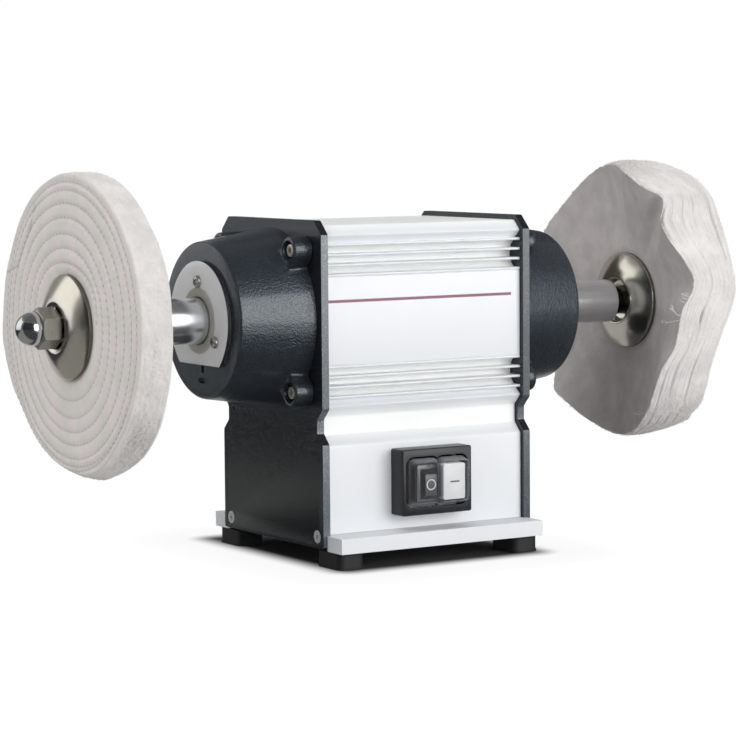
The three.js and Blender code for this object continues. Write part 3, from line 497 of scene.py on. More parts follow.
ribs = ribbed_side()
base_top = 21.7
profile_foot = base_top + 0.2 - shaft_height
outer_side = [(y, z) for y, z in reversed(ribs)] + [(y, -z) for y, z in ribs
                                                     if z < corner_height - 2.0]
lower = softened([(profile_half - 5.7, -corner_height + 5.1), (profile_half, -corner_height),
                  (waist_half, waist_top), (waist_half, waist_low),
                  (profile_half, waist_low - 7), (profile_half, profile_foot)], 1.0, 4,
                 closed=False)
outer_side += lower
wall = 3.2
bore_radius = 58.2
throat_half = 46.0
inner_side = [(profile_half - wall, profile_foot), (profile_half - wall, waist_low - 8.6),
              (waist_half - wall, waist_low - 1.6), (waist_half - wall, -63.4),
              (throat_half, -56.4)]
start = -acos(throat_half / bore_radius)
for step in range(25):
    angle = start + (pi / 2 - start) * step / 24
    inner_side.append((bore_radius * cos(angle), bore_radius * sin(angle)))
half = outer_side + inner_side
outline = [(y, z + shaft_height) for y, z in half]
outline += [(-y, z + shaft_height) for y, z in reversed(half[:-1])]
housing = prism_x("housing_profile_dressed", outline, -profile_length / 2, profile_length / 2,
                  housing_white, 28)
switch_opening = mesh_object("cutter", box_points((-22.1, -70, 37.75), (20.9, -50, 70.75)),
                             box_faces)
carved(housing, [switch_opening], 28)
fitted(housing, "housing", "profile_white", "housing_profile")

# Base plate: a cast tray in the same white coat, with a front and a rear ledge that run past the
# side plates. The machine's weight goes through it to four rubber feet.
plate_half = 67.2
base_white = skin_material("base_white", (0.83, 0.85, 0.875), (0.79, 0.81, 0.835), 0.48,
                           grain=1100.0, cloud=24.0, bump=0.3)


def dressed_copy(name, node, material, edge, segments, sharp=32.0):
    """The frame's own shape of a piece, in large faces, with its edges broken"""
    mesh = nodes[node].data.copy()
    mesh.name = name
    work = bmesh.new()
    work.from_mesh(mesh)
    bmesh.ops.remove_doubles(work, verts=work.verts, dist=2e-6)
    bmesh.ops.dissolve_limit(work, angle_limit=radians(1.5), verts=work.verts, edges=work.edges)
    work.to_mesh(mesh)
    work.free()
    mesh.materials.clear()
    mesh.materials.append(material)
    for face in mesh.polygons:
        face.material_index = 0
    return softened_edges(placed(name, mesh), edge, segments, 30.0, sharp)


def painted(piece, material, chosen):
    """A further finish, on the faces that pass a test"""
    piece.data.materials.append(material)
    for face in piece.data.polygons:
        if chosen(face):
            face.material_index = len(piece.data.materials) - 1


base = dressed_copy("base_plate_dressed", "base_plate", base_white, 0.7, 3, 12)
# The base plate's ends under the side plates are painted near-black, as painted shade.
bare_side = skin_material("bare_side", (0.010, 0.010, 0.011), (0.016, 0.016, 0.017), 0.6,
                          grain=1100.0)
painted(base, bare_side, lambda face: abs(face.normal.x) > 0.8
        and abs(face.center.y) < plate_half * mm)
fitted(base, "housing", "profile_white", "base_plate")

# Feet: four moulded black rubber blocks that spread at the bench, each with a peg pressed into
# the base plate.
foot_rubber = skin_material("foot_rubber", (0.007, 0.007, 0.008), (0.015, 0.015, 0.016), 0.66,
                            grain=2200.0, cloud=160.0, bump=0.5, depth=0.00008,
                            extra={"Specular IOR Level": 0.35})
for corner in ("front_left", "front_right", "rear_left", "rear_right"):
    foot = dressed_copy(f"{corner}_foot_dressed", f"{corner}_foot", foot_rubber, 0.5, 2)
    fitted(foot, "housing", "foot_rubber", f"{corner}_foot")

# Side plates: steel plate cut to the housing's outline with a lip all round, painted in a dark
# hammered finish, and screwed to the base at the bottom.
hammer_skin, given, gives = shader_group("hammer_skin", {"Place": (0, 0, 0), "Cell Scale": 420.0},
                                         ("Height", "Fleck"))


def scaled(tree, vector, size):
    return add_node(tree, "ShaderNodeVectorMath", {0: vector, 3: size}, operation="SCALE")


wander = scaled(hammer_skin, grainy(hammer_skin, given["Place"], 160.0, 2.0).outputs["Color"],
                0.0035)
cells = add_node(hammer_skin, "ShaderNodeTexVoronoi",
                 {"Vector": vector_calc(hammer_skin, "ADD", given["Place"], wander),
                  "Scale": given["Cell Scale"]}, feature="SMOOTH_F1")
lumps = grainy(hammer_skin, given["Place"], 700.0, 2.0)
plug(hammer_skin, calc(hammer_skin, "ADD", cells, lumps), gives["Height"])
plug(hammer_skin, mapped(hammer_skin, cells, (0.36, 0.16)), gives["Fleck"])


def hammered_material(name, colour, fleck_colour, roughness, cell, bump=0.5, **extra):
    material, tree, shader = bare_material(name, colour, roughness, 0.0,
                                           {"Coat Roughness": 0.15, **extra})
    place = object_place(tree)
    skin = placed_group(tree, hammer_skin, {"Place": place, "Cell Scale": cell})
    cloud = placed_group(tree, skin_grain, {"Place": place, "Cloud Scale": 40.0})
    tone = mixed_colour(tree, skin["Fleck"], colour, fleck_colour)
    tone = mixed_colour(tree, cloud["Cloud"], tone, tuple(0.72 * part for part in colour))
    plug(tree, tone, shader["Base Color"])
    bumped(tree, shader, skin["Height"], bump, 0.00035)
    return material


hammered_anthracite = hammered_material(
    "hammered_anthracite", (0.013, 0.014, 0.0165), (0.030, 0.032, 0.037), 0.22, 860.0, 0.34,
    **{"Specular IOR Level": 0.45, "Specular Tint": (0.78, 0.88, 1.0)})
# The plates' edges are painted lighter than their faces, as a painted highlight: the left plate's
# edges take the brightest copy, and the right plate's edges and the downward waist chamfers of
# both a copy at 0.62 of it.
plate_edge_highlights = {}
for side, share in (("left", 1.0), ("right", 0.62)):
    plate_edge_highlights[side] = hammered_material(
        f"{side}_plate_edge", tuple(share * part for part in (0.095, 0.12, 0.145)),
        tuple(share * part for part in (0.37, 0.42, 0.48)), 0.36, 1300.0,
        **{"Coat Weight": 0.5 * share})
plate_inner = 78.4
plate_outer = 83.8
plate_bottom = 13.3
plate_screw_y = 58.7
plate_screw_z = 20.6
vent_y = 52.8
vent_z = 98.0
vent_radius = 1.3
plate_bore = 50.0
screw_hole = 2.4
sink_radius = 4.95


def even_angles(count):
    return [2 * pi * step / count for step in range(count)]


def bored(steps, y, z, sides=40):
    """A bar along X that a hole is cut with: the radius at each place along it"""
    points = [(x, y + radius * cos(a), z + radius * sin(a)) for x, radius in steps
              for a in even_angles(sides)]
    return points, end_faces(len(steps), sides) + ring_faces(len(steps), sides)


for side in ("left", "right"):
    half = [(57.8, plate_half), (plate_half, 57.9), (plate_half, -58.3), (60.2, -65.4),
            (60.2, -74.9), (plate_half, -81.9), (plate_half, plate_bottom - shaft_height)]
    outline = softened(half + [(-y, z) for y, z in reversed(half)], 1.2, 4)
    sign = -1 if side == "left" else 1
    low, high = sorted((sign * plate_inner, sign * plate_outer))
    plate = prism_x(f"{side}_side_plate_dressed", [(y, z + shaft_height) for y, z in outline],
                    low, high, hammered_anthracite, 30)
    holes = [bored([(low - 2, plate_bore), (high + 2, plate_bore)], 0, shaft_height, 96)]
    sunk = [(plate_inner - 1, screw_hole), (plate_outer - 2.4, screw_hole),
            (plate_outer + 0.3, sink_radius), (plate_outer + 1, sink_radius)]
    for y in (-plate_screw_y, plate_screw_y):
        holes.append(bored([(sign * x, radius) for x, radius in sunk], y, plate_screw_z))
    holes.append(bored([(low - 1, vent_radius), (high + 1, vent_radius)], -sign * vent_y, vent_z,
                       20))
    carved(plate, [mesh_object("cutter", *hole) for hole in holes], 30)
    softened_edges(plate, 0.75, 3, 40.0, 12.0)
    # Painted highlight on the edges, and its dimmer copy on the downward chamfers.
    painted(plate, plate_edge_highlights[side], lambda face: abs(face.normal.y) > 0.95)
    painted(plate, plate_edge_highlights["right"], lambda face: 0.6 < abs(face.normal.y) <= 0.95
            and face.normal.z < -0.3)
    fitted(plate, "housing", "plate_hammered", f"{side}_side_plate")


# End bells: cast aluminium cones in blue-grey hammered paint, bored for the bearing, with four
# lugs that run into the barrel with fillets. Each lug is sunk for a socket-head screw.
def end_place(side):
    """The frame of one end: X runs outwards along the shaft, the origin is on its centre line"""
    spin = Matrix.Rotation(pi if side == "left" else 0.0, 4, "Z")
    return Matrix.Translation((0, 0, shaft_height)) @ spin


def toward(side, points):
    place = end_place(side)
    return [place @ Vector(point) for point in points]


def ring_solid(name, rings, angles, place, material=None, closed=False, sharp=35.0):
    """Rings of points round the shaft; a ring's radius is a number or a function of the angle"""
    points = []
    count = len(angles)
    for x, radius in rings:
        for angle in angles:
            size = radius(angle) if callable(radius) else radius
            points.append(place @ Vector((x, size * cos(angle), size * sin(angle))))
    faces = ring_faces(len(rings), count, closed)
    if not closed:
        for ring in (0, len(rings) - 1):
            hub = len(points)
            points.append(place @ Vector((rings[ring][0], 0, 0)))
            faces += [(hub, ring * count + n, ring * count + (n + 1) % count)
                      for n in range(count)]
    return mesh_object(name, points, faces, material, sharp)


bell_paint = hammered_material(
    "bell_blue_grey", (0.024, 0.029, 0.036), (0.040, 0.047, 0.057), 0.26, 1000.0, 0.9,
    **{"Coat Weight": 0.6, "Specular Tint": (0.84, 0.93, 1.0), "Coat Tint": (0.85, 0.93, 1.0)})
bell_foot = 84.0
bell_face = 137.0
bell_root = 61.2
bell_taper = 8.3
bell_length = 53.0
lug_offset = 47.4
lug_reach = lug_offset * sqrt(2)
lug_radius = 9.5
lug_blend = 2.6


def bell_cone(x):
    return bell_root - bell_taper * (x - bell_foot) / bell_length


def lug_outline(angle, grow):
    """The lug's edge seen from the shaft's end: round at its screw, with straight sides"""
    off = (angle - pi / 4) % (pi / 2)
    off = min(off, pi / 2 - off)
    size = lug_radius + grow
    side = lug_reach * sin(off)
    if side < size:
        return lug_reach * cos(off) + sqrt(max(size ** 2 - side ** 2, 0.0))
    return size / sin(off)


def with_lug(x, share, grow):
    """A ring of the bell with this share of the lugs that stand out of its cone"""
    def radius(angle):
        cone = bell_cone(x)
        lug = lug_outline(angle, grow)
        if lug < cone - 8:
            return cone
        joined = 0.5 * (lug + cone + sqrt((lug - cone) ** 2 + lug_blend ** 2))
        joined -= 0.5 * lug_blend * exp(-abs(lug - cone) / lug_blend) * 0.15
        return cone + (joined - cone) * share
    return radius


bell_angles = []
for quarter in range(4):
    middle = pi / 4 + quarter * pi / 2
    steps = [45, 40, 36, 32, 28, 25, 22, 19, 17, 15, 13.5, 12.2, 11.2, 10.4, 9.8, 9.3, 8.9, 8.6,
             8.3, 8.0, 7.7, 7.3, 6.8, 6.1, 5.3, 4.4, 3.4, 2.3, 1.2, 0]
    bell_angles += [middle - radians(s) for s in steps]
    bell_angles += [middle + radians(s) for s in reversed(steps[1:-1])]
bell_angles = sorted(angle % (2 * pi) for angle in bell_angles)


def end_bell(side):
    place = end_place(side)
    rings = [(bell_foot, 56.6)]
    rings += [(x, with_lug(x, share, grow)) for x, share, grow in (
        (bell_foot, 1, -0.4), (bell_foot + 0.4, 1, 0.0), (89, 1, -0.1), (94, 1, -0.3),
        (96.2, 1, -0.45), (96.9, 1, -0.7), (97.35, 1, -1.15), (97.55, 1, -1.7),
        (97.62, 0.75, -1.8), (97.70, 0.5, -1.8), (97.80, 0.28, -1.8), (98.0, 0.14, -1.8),
        (98.5, 0.06, -1.8), (99.4, 0.015, -1.8))]
    rings += [(x, bell_cone(x)) for x in (102, 106, 112, 118, 124, 130, 134.2)]
    for step in range(1, 6):
        angle = step / 5 * pi / 2
        rings.append((135.2 + 1.8 * sin(angle), bell_cone(135.2) - 1.8 * (1 - cos(angle))))
    rings += [(bell_face, 47.0), (bell_face, 42.0), (bell_face, 32.0), (bell_face, 24.1),
              (bell_face - 0.5, 23.8), (121.2, 23.8), (121.2, 19.0), (117.7, 19.0), (117.7, 30.0),
              (131.0, 30.0), (131.0, 49.2)]
    bell = ring_solid(f"{side}_end_bell_dressed", rings, bell_angles, place, bell_paint, True, 38)
    cutters = []
    for y in (-lug_offset, lug_offset):
        for z in (-lug_offset, lug_offset):
            points, faces = bored([(83.0, 2.9), (90.8, 2.9), (90.8, 6.4), (97.1, 6.4),
                                   (98.2, 7.1), (106, 7.1)], y, z)
            cutters.append(mesh_object("cutter", toward(side, points), faces))
    slot = toward(side, box_points((134.0, -1.6, -35.2), (139.0, 1.6, -29.4)))
    cutters.append(mesh_object("cutter", slot, box_faces))
    dish = [(134.6, 3.0), (135.6, 4.0), (137.4, 4.5), (139, 4.6)]
    low_place = place @ Matrix.Translation((0, 0, -40.6)) @ Matrix.Diagonal((1, 1.45, 0.42, 1))
    cutters.append(ring_solid("cutter", dish, even_angles(32), low_place))
    carved(bell, cutters, 38)
    fitted(bell, "housing", "bell_hammered", f"{side}_end_bell")


end_bell("left")
end_bell("right")


# Socket-head screws: black oxide alloy steel, knurled round the head, two fifths sunk in the lugs.
# One set of nodes stands the machine's screws on their rings, each turned as it was tightened.
def node_tree(name, inputs):
    """A tree of geometry nodes with named inputs, and what it is given through them"""
    tree = bpy.data.node_groups.new(name, "GeometryNodeTree")
    for label, kind in inputs.items():
        tree.interface.new_socket(label, in_out="INPUT", socket_type=f"NodeSocket{kind}")
    tree.interface.new_socket("Piece", in_out="OUTPUT", socket_type="NodeSocketGeometry")
    return tree, add_node(tree, "NodeGroupInput").outputs


def finish_tree(tree, geometry, finish):
    real = add_node(tree, "GeometryNodeRealizeInstances", {0: geometry})
    dressed = add_node(tree, "GeometryNodeSetMaterial", {"Geometry": real, "Material": finish})
    plug(tree, dressed, add_node(tree, "NodeGroupOutput").inputs[0])


def shape_of(tree, thing):
    return add_node(tree, "GeometryNodeObjectInfo", {"Object": thing}).outputs["Geometry"]


def combined(tree, **parts):
    return add_node(tree, "ShaderNodeCombineXYZ", parts)


def grown(name, tree, values, body, slot, sharp=60, replaced=()):
    """The plain mesh that a tree makes from these values"""
    piece = placed(name, bpy.data.meshes.new(name))
    grower = piece.modifiers.new("grown", "NODES")
    grower.node_group = tree
    known = {item.name: item.identifier for item in tree.interface.items_tree}
    for label, value in values.items():
        grower[known[label]] = value
    return fitted(applied(piece, sharp), body, slot, *replaced)


screw_tree, given = node_tree("ring_of_screws", {
    "Screw": "Object", "Ring Radius": "Float", "Count": "Int", "First Angle": "Float",
    "End Turn": "Float", "Centre Height": "Float", "Seed": "Int", "Finish": "Material"})
turn = calc(screw_tree, "DIVIDE", add_node(screw_tree, "GeometryNodeInputIndex"), given["Count"])
turn = calc(screw_tree, "MULTIPLY", turn, 2 * pi)
spot = combined(screw_tree, X=calc(screw_tree, "COSINE", turn), Y=calc(screw_tree, "SINE", turn))
ring = add_node(screw_tree, "GeometryNodePoints", {
    "Count": given["Count"], "Position": scaled(screw_tree, spot, given["Ring Radius"])})
stood = add_node(screw_tree, "GeometryNodeInstanceOnPoints", {
    "Points": ring, "Instance": shape_of(screw_tree, given["Screw"])})
chance = add_node(screw_tree, "FunctionNodeRandomValue", {"Seed": given["Seed"], 3: 2 * pi},
                  data_type="FLOAT")
spun = add_node(screw_tree, "GeometryNodeRotateInstances", {
    "Instances": stood, "Rotation": combined(screw_tree, Z=chance.outputs[1])})
turned = add_node(screw_tree, "GeometryNodeTransform", {
    "Geometry": spun, "Rotation": combined(screw_tree, Z=given["First Angle"])})
faced = add_node(screw_tree, "GeometryNodeTransform", {
    "Geometry": turned, "Rotation": combined(screw_tree, X=pi / 2, Z=given["End Turn"]),
    "Translation": combined(screw_tree, Z=given["Centre Height"])})
finish_tree(screw_tree, faced, given["Finish"])


def rings_of_screws(part, screw, radius, count, first_angle, height, seeds, finish, slot, places):
    """The same ring of screws at both ends; places ends the names of the screws it stands for"""
    for side, seed in zip(("left", "right"), seeds):
        grown(f"{side}_{part}_screws_dressed", screw_tree, {
            "Screw": screw, "Ring Radius": radius * mm, "Count": count,
            "First Angle": first_angle, "End Turn": pi / 2 + (pi if side == "left" else 0.0),
            "Centre Height": height * mm, "Seed": seed, "Finish": finish},
            "housing", slot, 38, [f"{side}_{place}" for place in places])
    bpy.data.objects.remove(screw)


# Screws are made lying along Z, which the tree turns to the shaft's direction
lying = Matrix(((0, 1, 0, 0), (0, 0, 1, 0), (1, 0, 0, 0), (0, 0, 0, 1)))


def hexagon(flats, turn=0.0):
    def radius(angle):
        off = (angle - turn) % (pi / 3)
        return flats / 2 / cos(off - pi / 6)
    return radius


black_oxide = skin_material("black_oxide", (0.60, 0.565, 0.51), (0.40, 0.375, 0.34), 0.3, 0.55,
                            grain=3000.0, cloud=400.0, bump=0.3)
head_radius = 4.3
socket_flats = 4.0


def knurled(angle):
    return head_radius - 0.14 * abs(sin(angle * 18))


socket = hexagon(socket_flats)
socket_screw = ring_solid("socket_screw", [
    (92.6, lambda a: 0.4 * socket(a)), (93.6, socket), (95.9, socket),
    (96.2, lambda a: socket(a) + 0.25), (96.2, head_radius - 0.6), (96.0, head_radius - 0.2),
    (95.6, knurled), (91.6, knurled), (91.2, head_radius - 0.3), (91.2, 2.5), (65.0, 2.5),
    (64.2, 2.0)], even_angles(72), lying, black_oxide)
rings_of_screws("bell", socket_screw, lug_reach, 4, pi / 4, shaft_height, (5, 8), black_oxide,
                "black_steel", [f"bell_screw_{depth}_{height}" for depth in ("front", "rear")
                                for height in ("upper", "lower")])


# Plate screws: countersunk cross screws, M5, in zinc-plated steel. Two on each side hold the side
# plate to the base plate, with their heads flush with its face.
def cross_cutter(top, reach, width, depth):
    """The tapered cross of a driver, sunk from the head's top"""
    cutters = []
    for arm_x, arm_y in ((reach, width), (width, reach)):
        points = []
        for x, share in ((top - depth, 0.55), (top + 1.0, 1.15)):
            for u, v in ((-1, -1), (1, -1), (1, 1), (-1, 1)):
                points.append(lying @ Vector((x, u * arm_x * share, v * arm_y * min(share, 1))))
        cutters.append(mesh_object("cutter", points, end_faces(2, 4) + ring_faces(2, 4)))
    return cutters


plate_screw_top = plate_outer - 0.05
zinc_matt = skin_material("zinc_matt", (0.66, 0.66, 0.65), (0.50, 0.50, 0.49), 0.4, 0.2,
                          grain=2600.0, cloud=350.0, bump=0.25)
flat_screw = ring_solid("flat_screw", [
    (plate_screw_top, 3.2), (plate_screw_top - 0.05, 4.3), (plate_screw_top - 0.3, 4.5),
    (plate_screw_top - 2.4, 2.0), (69.8, 2.0), (69.4, 1.5)], even_angles(48), lying, zinc_matt)
carved(flat_screw, cross_cutter(plate_screw_top, 2.5, 0.62, 1.5), 32)
rings_of_screws("plate", flat_screw, plate_screw_y, 2, 0.0, plate_screw_z, (3, 4), zinc_matt,
                "zinc_steel", ("front_plate_screw", "rear_plate_screw"))

# Bearing covers: thin pressed discs in satin grey, cut straight at the bottom, that hold the
# bearings in their bells.
cover_grey = skin_material("cover_grey", (0.92, 0.93, 0.95), (0.80, 0.81, 0.83), 0.42, 0.1,
                           grain=1400.0, cloud=60.0, bump=0.35)
# The covers' rims are painted near-black, as painted shade in the gap between each cover and its
# bell.
cover_edge = skin_material("cover_edge", (0.022, 0.022, 0.024), (0.035, 0.035, 0.037), 0.5,
                           grain=1400.0)
cover_back = 137.2
cover_front = 139.7
cover_radius = 40.2
cover_flat = 29.6


def cut_disc(radius):
    def size(angle):
        if sin(angle) >= 0:
            return radius
        return min(radius, (cover_flat - (cover_radius - radius)) / max(-sin(angle), 1e-6))
    return size


flat_start = asin(cover_flat / cover_radius)
cover_angles = sorted(even_angles(120) + [2 * pi - flat_start, pi + flat_start])


def turned_pair(part, rings, angles, material, body, slot, sharp, second=None, chosen=None,
                closed=True):
    """The same turned piece at both ends, with a further finish on the faces that pass a test"""
    for side in ("left", "right"):
        piece = ring_solid(f"{side}_{part}_dressed", rings, angles, end_place(side), material,
                           closed, sharp)
        if second:
            painted(piece, second, chosen)
        fitted(piece, body, slot, f"{side}_{part}")


turned_pair("bearing_cover", [
    (135.6, 19.5), (135.6, 23.2), (cover_back, 23.2), (cover_back, cut_disc(39.9)),
    (cover_back + 0.3, cut_disc(cover_radius)), (cover_front - 0.25, cut_disc(cover_radius)),
    (cover_front - 0.05, cut_disc(40.1)), (cover_front, cut_disc(39.9)),
    (cover_front, cut_disc(36.0)), (cover_front, 24.0), (cover_front, 20.3),
    (cover_front - 0.2, 19.7), (cover_front - 0.6, 19.5)], cover_angles, cover_grey, "housing",
    "cover_grey", 32, cover_edge, lambda face: abs(face.normal.x) < 0.5)

# Cover screws: pan heads with a cross, in zinc-plated steel. Three on each side go through the
# bearing cover into its bell.
zinc_plate = skin_material("zinc_plate", (0.56, 0.56, 0.545), (0.42, 0.42, 0.40), 0.28, 1.0,
                           grain=2600.0, cloud=350.0, bump=0.25)
cover_screw_radius = 26.5
pan_top = 142.5
pan_screw = ring_solid("pan_screw", [
    (pan_top, 1.2), (pan_top - 0.06, 2.2), (pan_top - 0.35, 3.2), (pan_top - 0.95, 3.85),
    (pan_top - 1.6, 4.1), (cover_front, 4.1), (cover_front, 2.0), (129.6, 2.0), (129.2, 1.6)],
    even_angles(48), lying, zinc_plate)
carved(pan_screw, cross_cutter(pan_top, 2.5, 0.65, 1.7), 40)
rings_of_screws("cover", pan_screw, cover_screw_radius, 3, pi / 2, shaft_height, (11, 12),
                zinc_plate, "zinc_steel", [f"cover_screw_{index}" for index in (1, 2, 3)])

# Shaft seals: rings of pressed felt, grey-green with oil, let into the bearing covers. Each lies
# round the spacer sleeve that turns in it.
seal_felt = skin_material("seal_felt", (0.50, 0.50, 0.45), (0.40, 0.40, 0.355), 0.75,
                          grain=2400.0, cloud=220.0, bump=0.8, depth=0.0001)
turned_pair("shaft_seal", [
    (135.9, 16.0), (135.9, 19.15), (139.75, 19.15), (139.75, 22.2), (140.1, 22.3), (140.35, 22.0),
    (140.5, 21.0), (140.5, 18.0), (140.3, 17.0), (140.0, 16.2)], even_angles(72), seal_felt,
    "housing", "seal_felt", 35)

# Ball bearings: the outer race is pressed in the bell and the inner race on the shaft. They show
# only between the seal and the sleeve, in ground steel.
ring_lines, given, gives = shader_group(
    "ring_lines", {"Place": (0, 0, 0), "Axis Height": shaft_height * mm, "Line Scale": 1800.0},
    ("Height", "Tone"))
apart = add_node(ring_lines, "ShaderNodeSeparateXYZ", {0: given["Place"]}).outputs
level = calc(ring_lines, "SUBTRACT", apart["Z"], given["Axis Height"])
flat = combined(ring_lines, X=apart["Y"], Y=level)
radius = vector_calc(ring_lines, "LENGTH", flat).outputs["Value"]
around = calc(ring_lines, "MULTIPLY", calc(ring_lines, "ARCTAN2", level, apart["Y"]), 0.0006)
track = combined(ring_lines, X=apart["X"], Y=radius, Z=around)
plug(ring_lines, grainy(ring_lines, track, given["Line Scale"], 3.0, 0.6), gives["Height"])
plug(ring_lines, grainy(ring_lines, given["Place"], 90.0, 3.0), gives["Tone"])


def turned_metal(name, colour, shade, roughness, line_scale=1800.0, bump=0.12, metallic=1.0,
                 streak=0.2):
    material, tree, shader = bare_material(name, colour, roughness, metallic)
    lines = placed_group(tree, ring_lines, {"Place": object_place(tree), "Line Scale": line_scale})
    plug(tree, mixed_colour(tree, lines["Tone"], colour, shade), shader["Base Color"])
    rough = mapped(tree, lines["Height"], (0.3, 0.7), (roughness * (1 - streak),
                                                       roughness * (1 + streak)))
    plug(tree, rough, shader["Roughness"])
    bumped(tree, shader, lines["Height"], bump, 0.00002)
    return material


def finished_node(name, material):
    slots = nodes[name].data.materials
    slots.clear()
    slots.append(material)
    for face in nodes[name].data.polygons:
        face.material_index = 0


ground_steel = turned_metal("ground_steel", (0.60, 0.60, 0.60), (0.5, 0.5, 0.5), 0.2)
for side in ("left", "right"):
    finished_node(f"{side}_bearing_outer_race", ground_steel)
    finished_node(f"{side}_bearing_inner_race", ground_steel)

# Motor: a stack of steel sheets with a copper winding at each end, round a rotor of the same
# sheets. All of it stands inside the housing.
stacked_sheets = turned_metal("stacked_sheets", (0.30, 0.31, 0.32), (0.20, 0.20, 0.21), 0.45,
                              900.0, 0.6, 0.8)
copper_wire = turned_metal("copper_wire", (0.45, 0.16, 0.06), (0.33, 0.10, 0.04), 0.35, 1100.0,
                           0.9, 0.9)
can_skin = skin_material("can_skin", (0.5, 0.51, 0.52), (0.42, 0.43, 0.44), 0.35, 0.9,
                         grain=1800.0, cloud=50.0, bump=0.2)
for node, finish in (("stator_core", stacked_sheets), ("rotor_core", stacked_sheets),
                     ("left_winding", copper_wire), ("right_winding", copper_wire),
                     ("run_capacitor", can_skin)):
    finished_node(node, finish)

# Cable gland: a hexagon and a domed cap, moulded in black nylon and screwed into the rear wall
# where the lead enters.
gland_nylon = skin_material("gland_nylon", (0.022, 0.022, 0.024), (0.035, 0.035, 0.038), 0.45,
                            grain=1600.0, cloud=80.0, bump=0.35)
gland = dressed_copy("cable_gland_dressed", "cable_gland", gland_nylon, 0.5, 2, 38)
fitted(gland, "housing", "gland_black", "cable_gland")

# Switch: a moulded black frame on the housing's front, hollowed for a clear boot with one lobe
# over each button. The module behind it fills the cut-out in the wall.
switch_black = skin_material("switch_black", (0.020, 0.0205, 0.0225), (0.026, 0.027, 0.030), 0.36,
                             grain=2400.0, cloud=70.0, bump=0.5, depth=0.00005,
                             extra={"Specular IOR Level": 0.36})
switch_x = -0.6
switch_z = 54.25
frame_front = -78.4
stop_lobe = (-23.8, 1.2)
start_lobe = (-0.6, 24.2)
lobe_half_height = 16.3


def rounded_box(low, high, half_height, corner, inset=0.0, steps=8):
    """Points round a lobe's outline in X and Z, seen from the front"""
    points = []
    r = max(corner - inset, 0.3)
    low, high, tall = low + inset, high - inset, half_height - inset
    for cx, cz, first in ((high - r, tall - r, 0), (low + r, tall - r, 90),
                          (low + r, r - tall, 180), (high - r, r - tall, 270)):
        for step in range(steps + 1):
            angle = radians(first + 90 * step / steps)
            points.append((cx + r * cos(angle), cz + r * sin(angle)))
    return points


def lofted(name, rings, material=None, sharp=40.0):
    """Outlines in X and Z, each at its own Y, joined and closed with a face at both ends"""
    count = len(rings[0][1])
    points = [(x, y, z) for y, outline in rings for x, z in outline]
    faces = ring_faces(len(rings), count) + end_faces(len(rings), count)
    return mesh_object(name, points, faces, material, sharp)


def at_switch(*shape):
    return [(x + switch_x, z + switch_z) for x, z in rounded_box(*shape)]


lobe_corner = 5.2
rings = [(y, at_switch(-27.5, 28.3, 22.5, 1.4, inset, 3)) for y, inset in (
    (-64.0, 0), (frame_front + 0.9, 0), (frame_front + 0.35, 0.35), (frame_front, 0.9))]
switch_frame = lofted("switch_frame_dressed", rings, switch_black)
cutters = []
for front, shape in ((-77.0, (-25.1, 25.1, 19.9, 0.8, 0, 3)), (-82.0, (-22.0, 22.0, 14.6, 3.0))):
    hollow = at_switch(*shape)
    cutters.append(lofted("cutter", [(-63.0, hollow), (front, hollow)]))
for lobe in (stop_lobe, start_lobe):
    cutters.append(lofted("cutter", [
        (y, at_switch(*lobe, lobe_half_height, lobe_corner, inset)) for y, inset in (
            (frame_front + 3.2, -0.9), (frame_front + 0.3, -0.9), (frame_front - 0.6, -1.3),
            (-82.0, -1.3))]))
carved(switch_frame, cutters, 40)
# Inside its window the frame is painted near-black, as painted shade in the recess.
recess_black = skin_material("recess_black", (0.004, 0.004, 0.0045), (0.006, 0.006, 0.0065), 0.6,
                             grain=2400.0, extra={"Specular IOR Level": 0.1})
painted(switch_frame, recess_black, lambda face: face.center.y > (frame_front + 0.35) * mm
        and abs(face.center.x) < 26.0 * mm and abs(face.center.z - switch_z * mm) < 18.5 * mm)
# The frame's top faces are painted a lighter grey than its front, as a painted sheen.
top_sheen = skin_material("top_sheen", (0.085, 0.087, 0.092), (0.11, 0.112, 0.117), 0.4,
                          grain=2400.0, cloud=70.0, bump=0.5, depth=0.00005)
painted(switch_frame, top_sheen, lambda face: face.normal.z > 0.9
        and face.center.z > (switch_z + 21) * mm)
fitted(switch_frame, "housing", "switch_black", "switch_frame")
module_black = skin_material("module_black", (0.014, 0.014, 0.016), (0.022, 0.022, 0.024), 0.5,
                             grain=1800.0)
finished_node("switch_module", module_black)

# Clear boot: soft vinyl over both buttons, with a raised lobe for each. It looks through where
# it is seen flat, and smoky at its walls and edges.
boot_clear, tree, shader = bare_material("boot_clear", (0.30, 0.31, 0.335), 0.16, 0.0,
                                         {"Coat Weight": 0.6})
facing = add_node(tree, "ShaderNodeLayerWeight", {"Blend": 0.42}).outputs["Facing"]
alpha = mapped(tree, facing, (0.16, 0.70), (0.02, 0.80))
haze = placed_group(tree, skin_grain, {"Place": object_place(tree), "Grain Scale": 500.0,
                                       "Cloud Scale": 120.0})
alpha = calc(tree, "ADD", alpha, calc(tree, "MULTIPLY", haze["Cloud"], 0.06))
plug(tree, alpha, shader["Alpha"])
bumped(tree, shader, haze["Height"], 0.08, 0.00005)
boots = []
for (low, high), lip, top, left_lean in ((stop_lobe, -81.7, -83.0, 1.0),
                                        (start_lobe, -84.2, -85.6, 0.25)):
    walls = ((frame_front + 1.2, 0.3), (frame_front - 0.2, 0.3), (frame_front - 0.9, 0.7),
             (lip + 0.4, 1.75), (lip, 1.95), (lip - 0.6, 2.2), (top + 0.25, 2.6), (top, 3.1),
             (top + 0.18, 3.9), (top + 0.22, 4.4))
    rings = [(y, at_switch(low - lean * (1 - left_lean), high, lobe_half_height, lobe_corner,
                           lean)) for y, lean in walls]
    boots.append(lofted("switch_boot_dressed", rings, boot_clear, 50))
joined = bmesh.new()
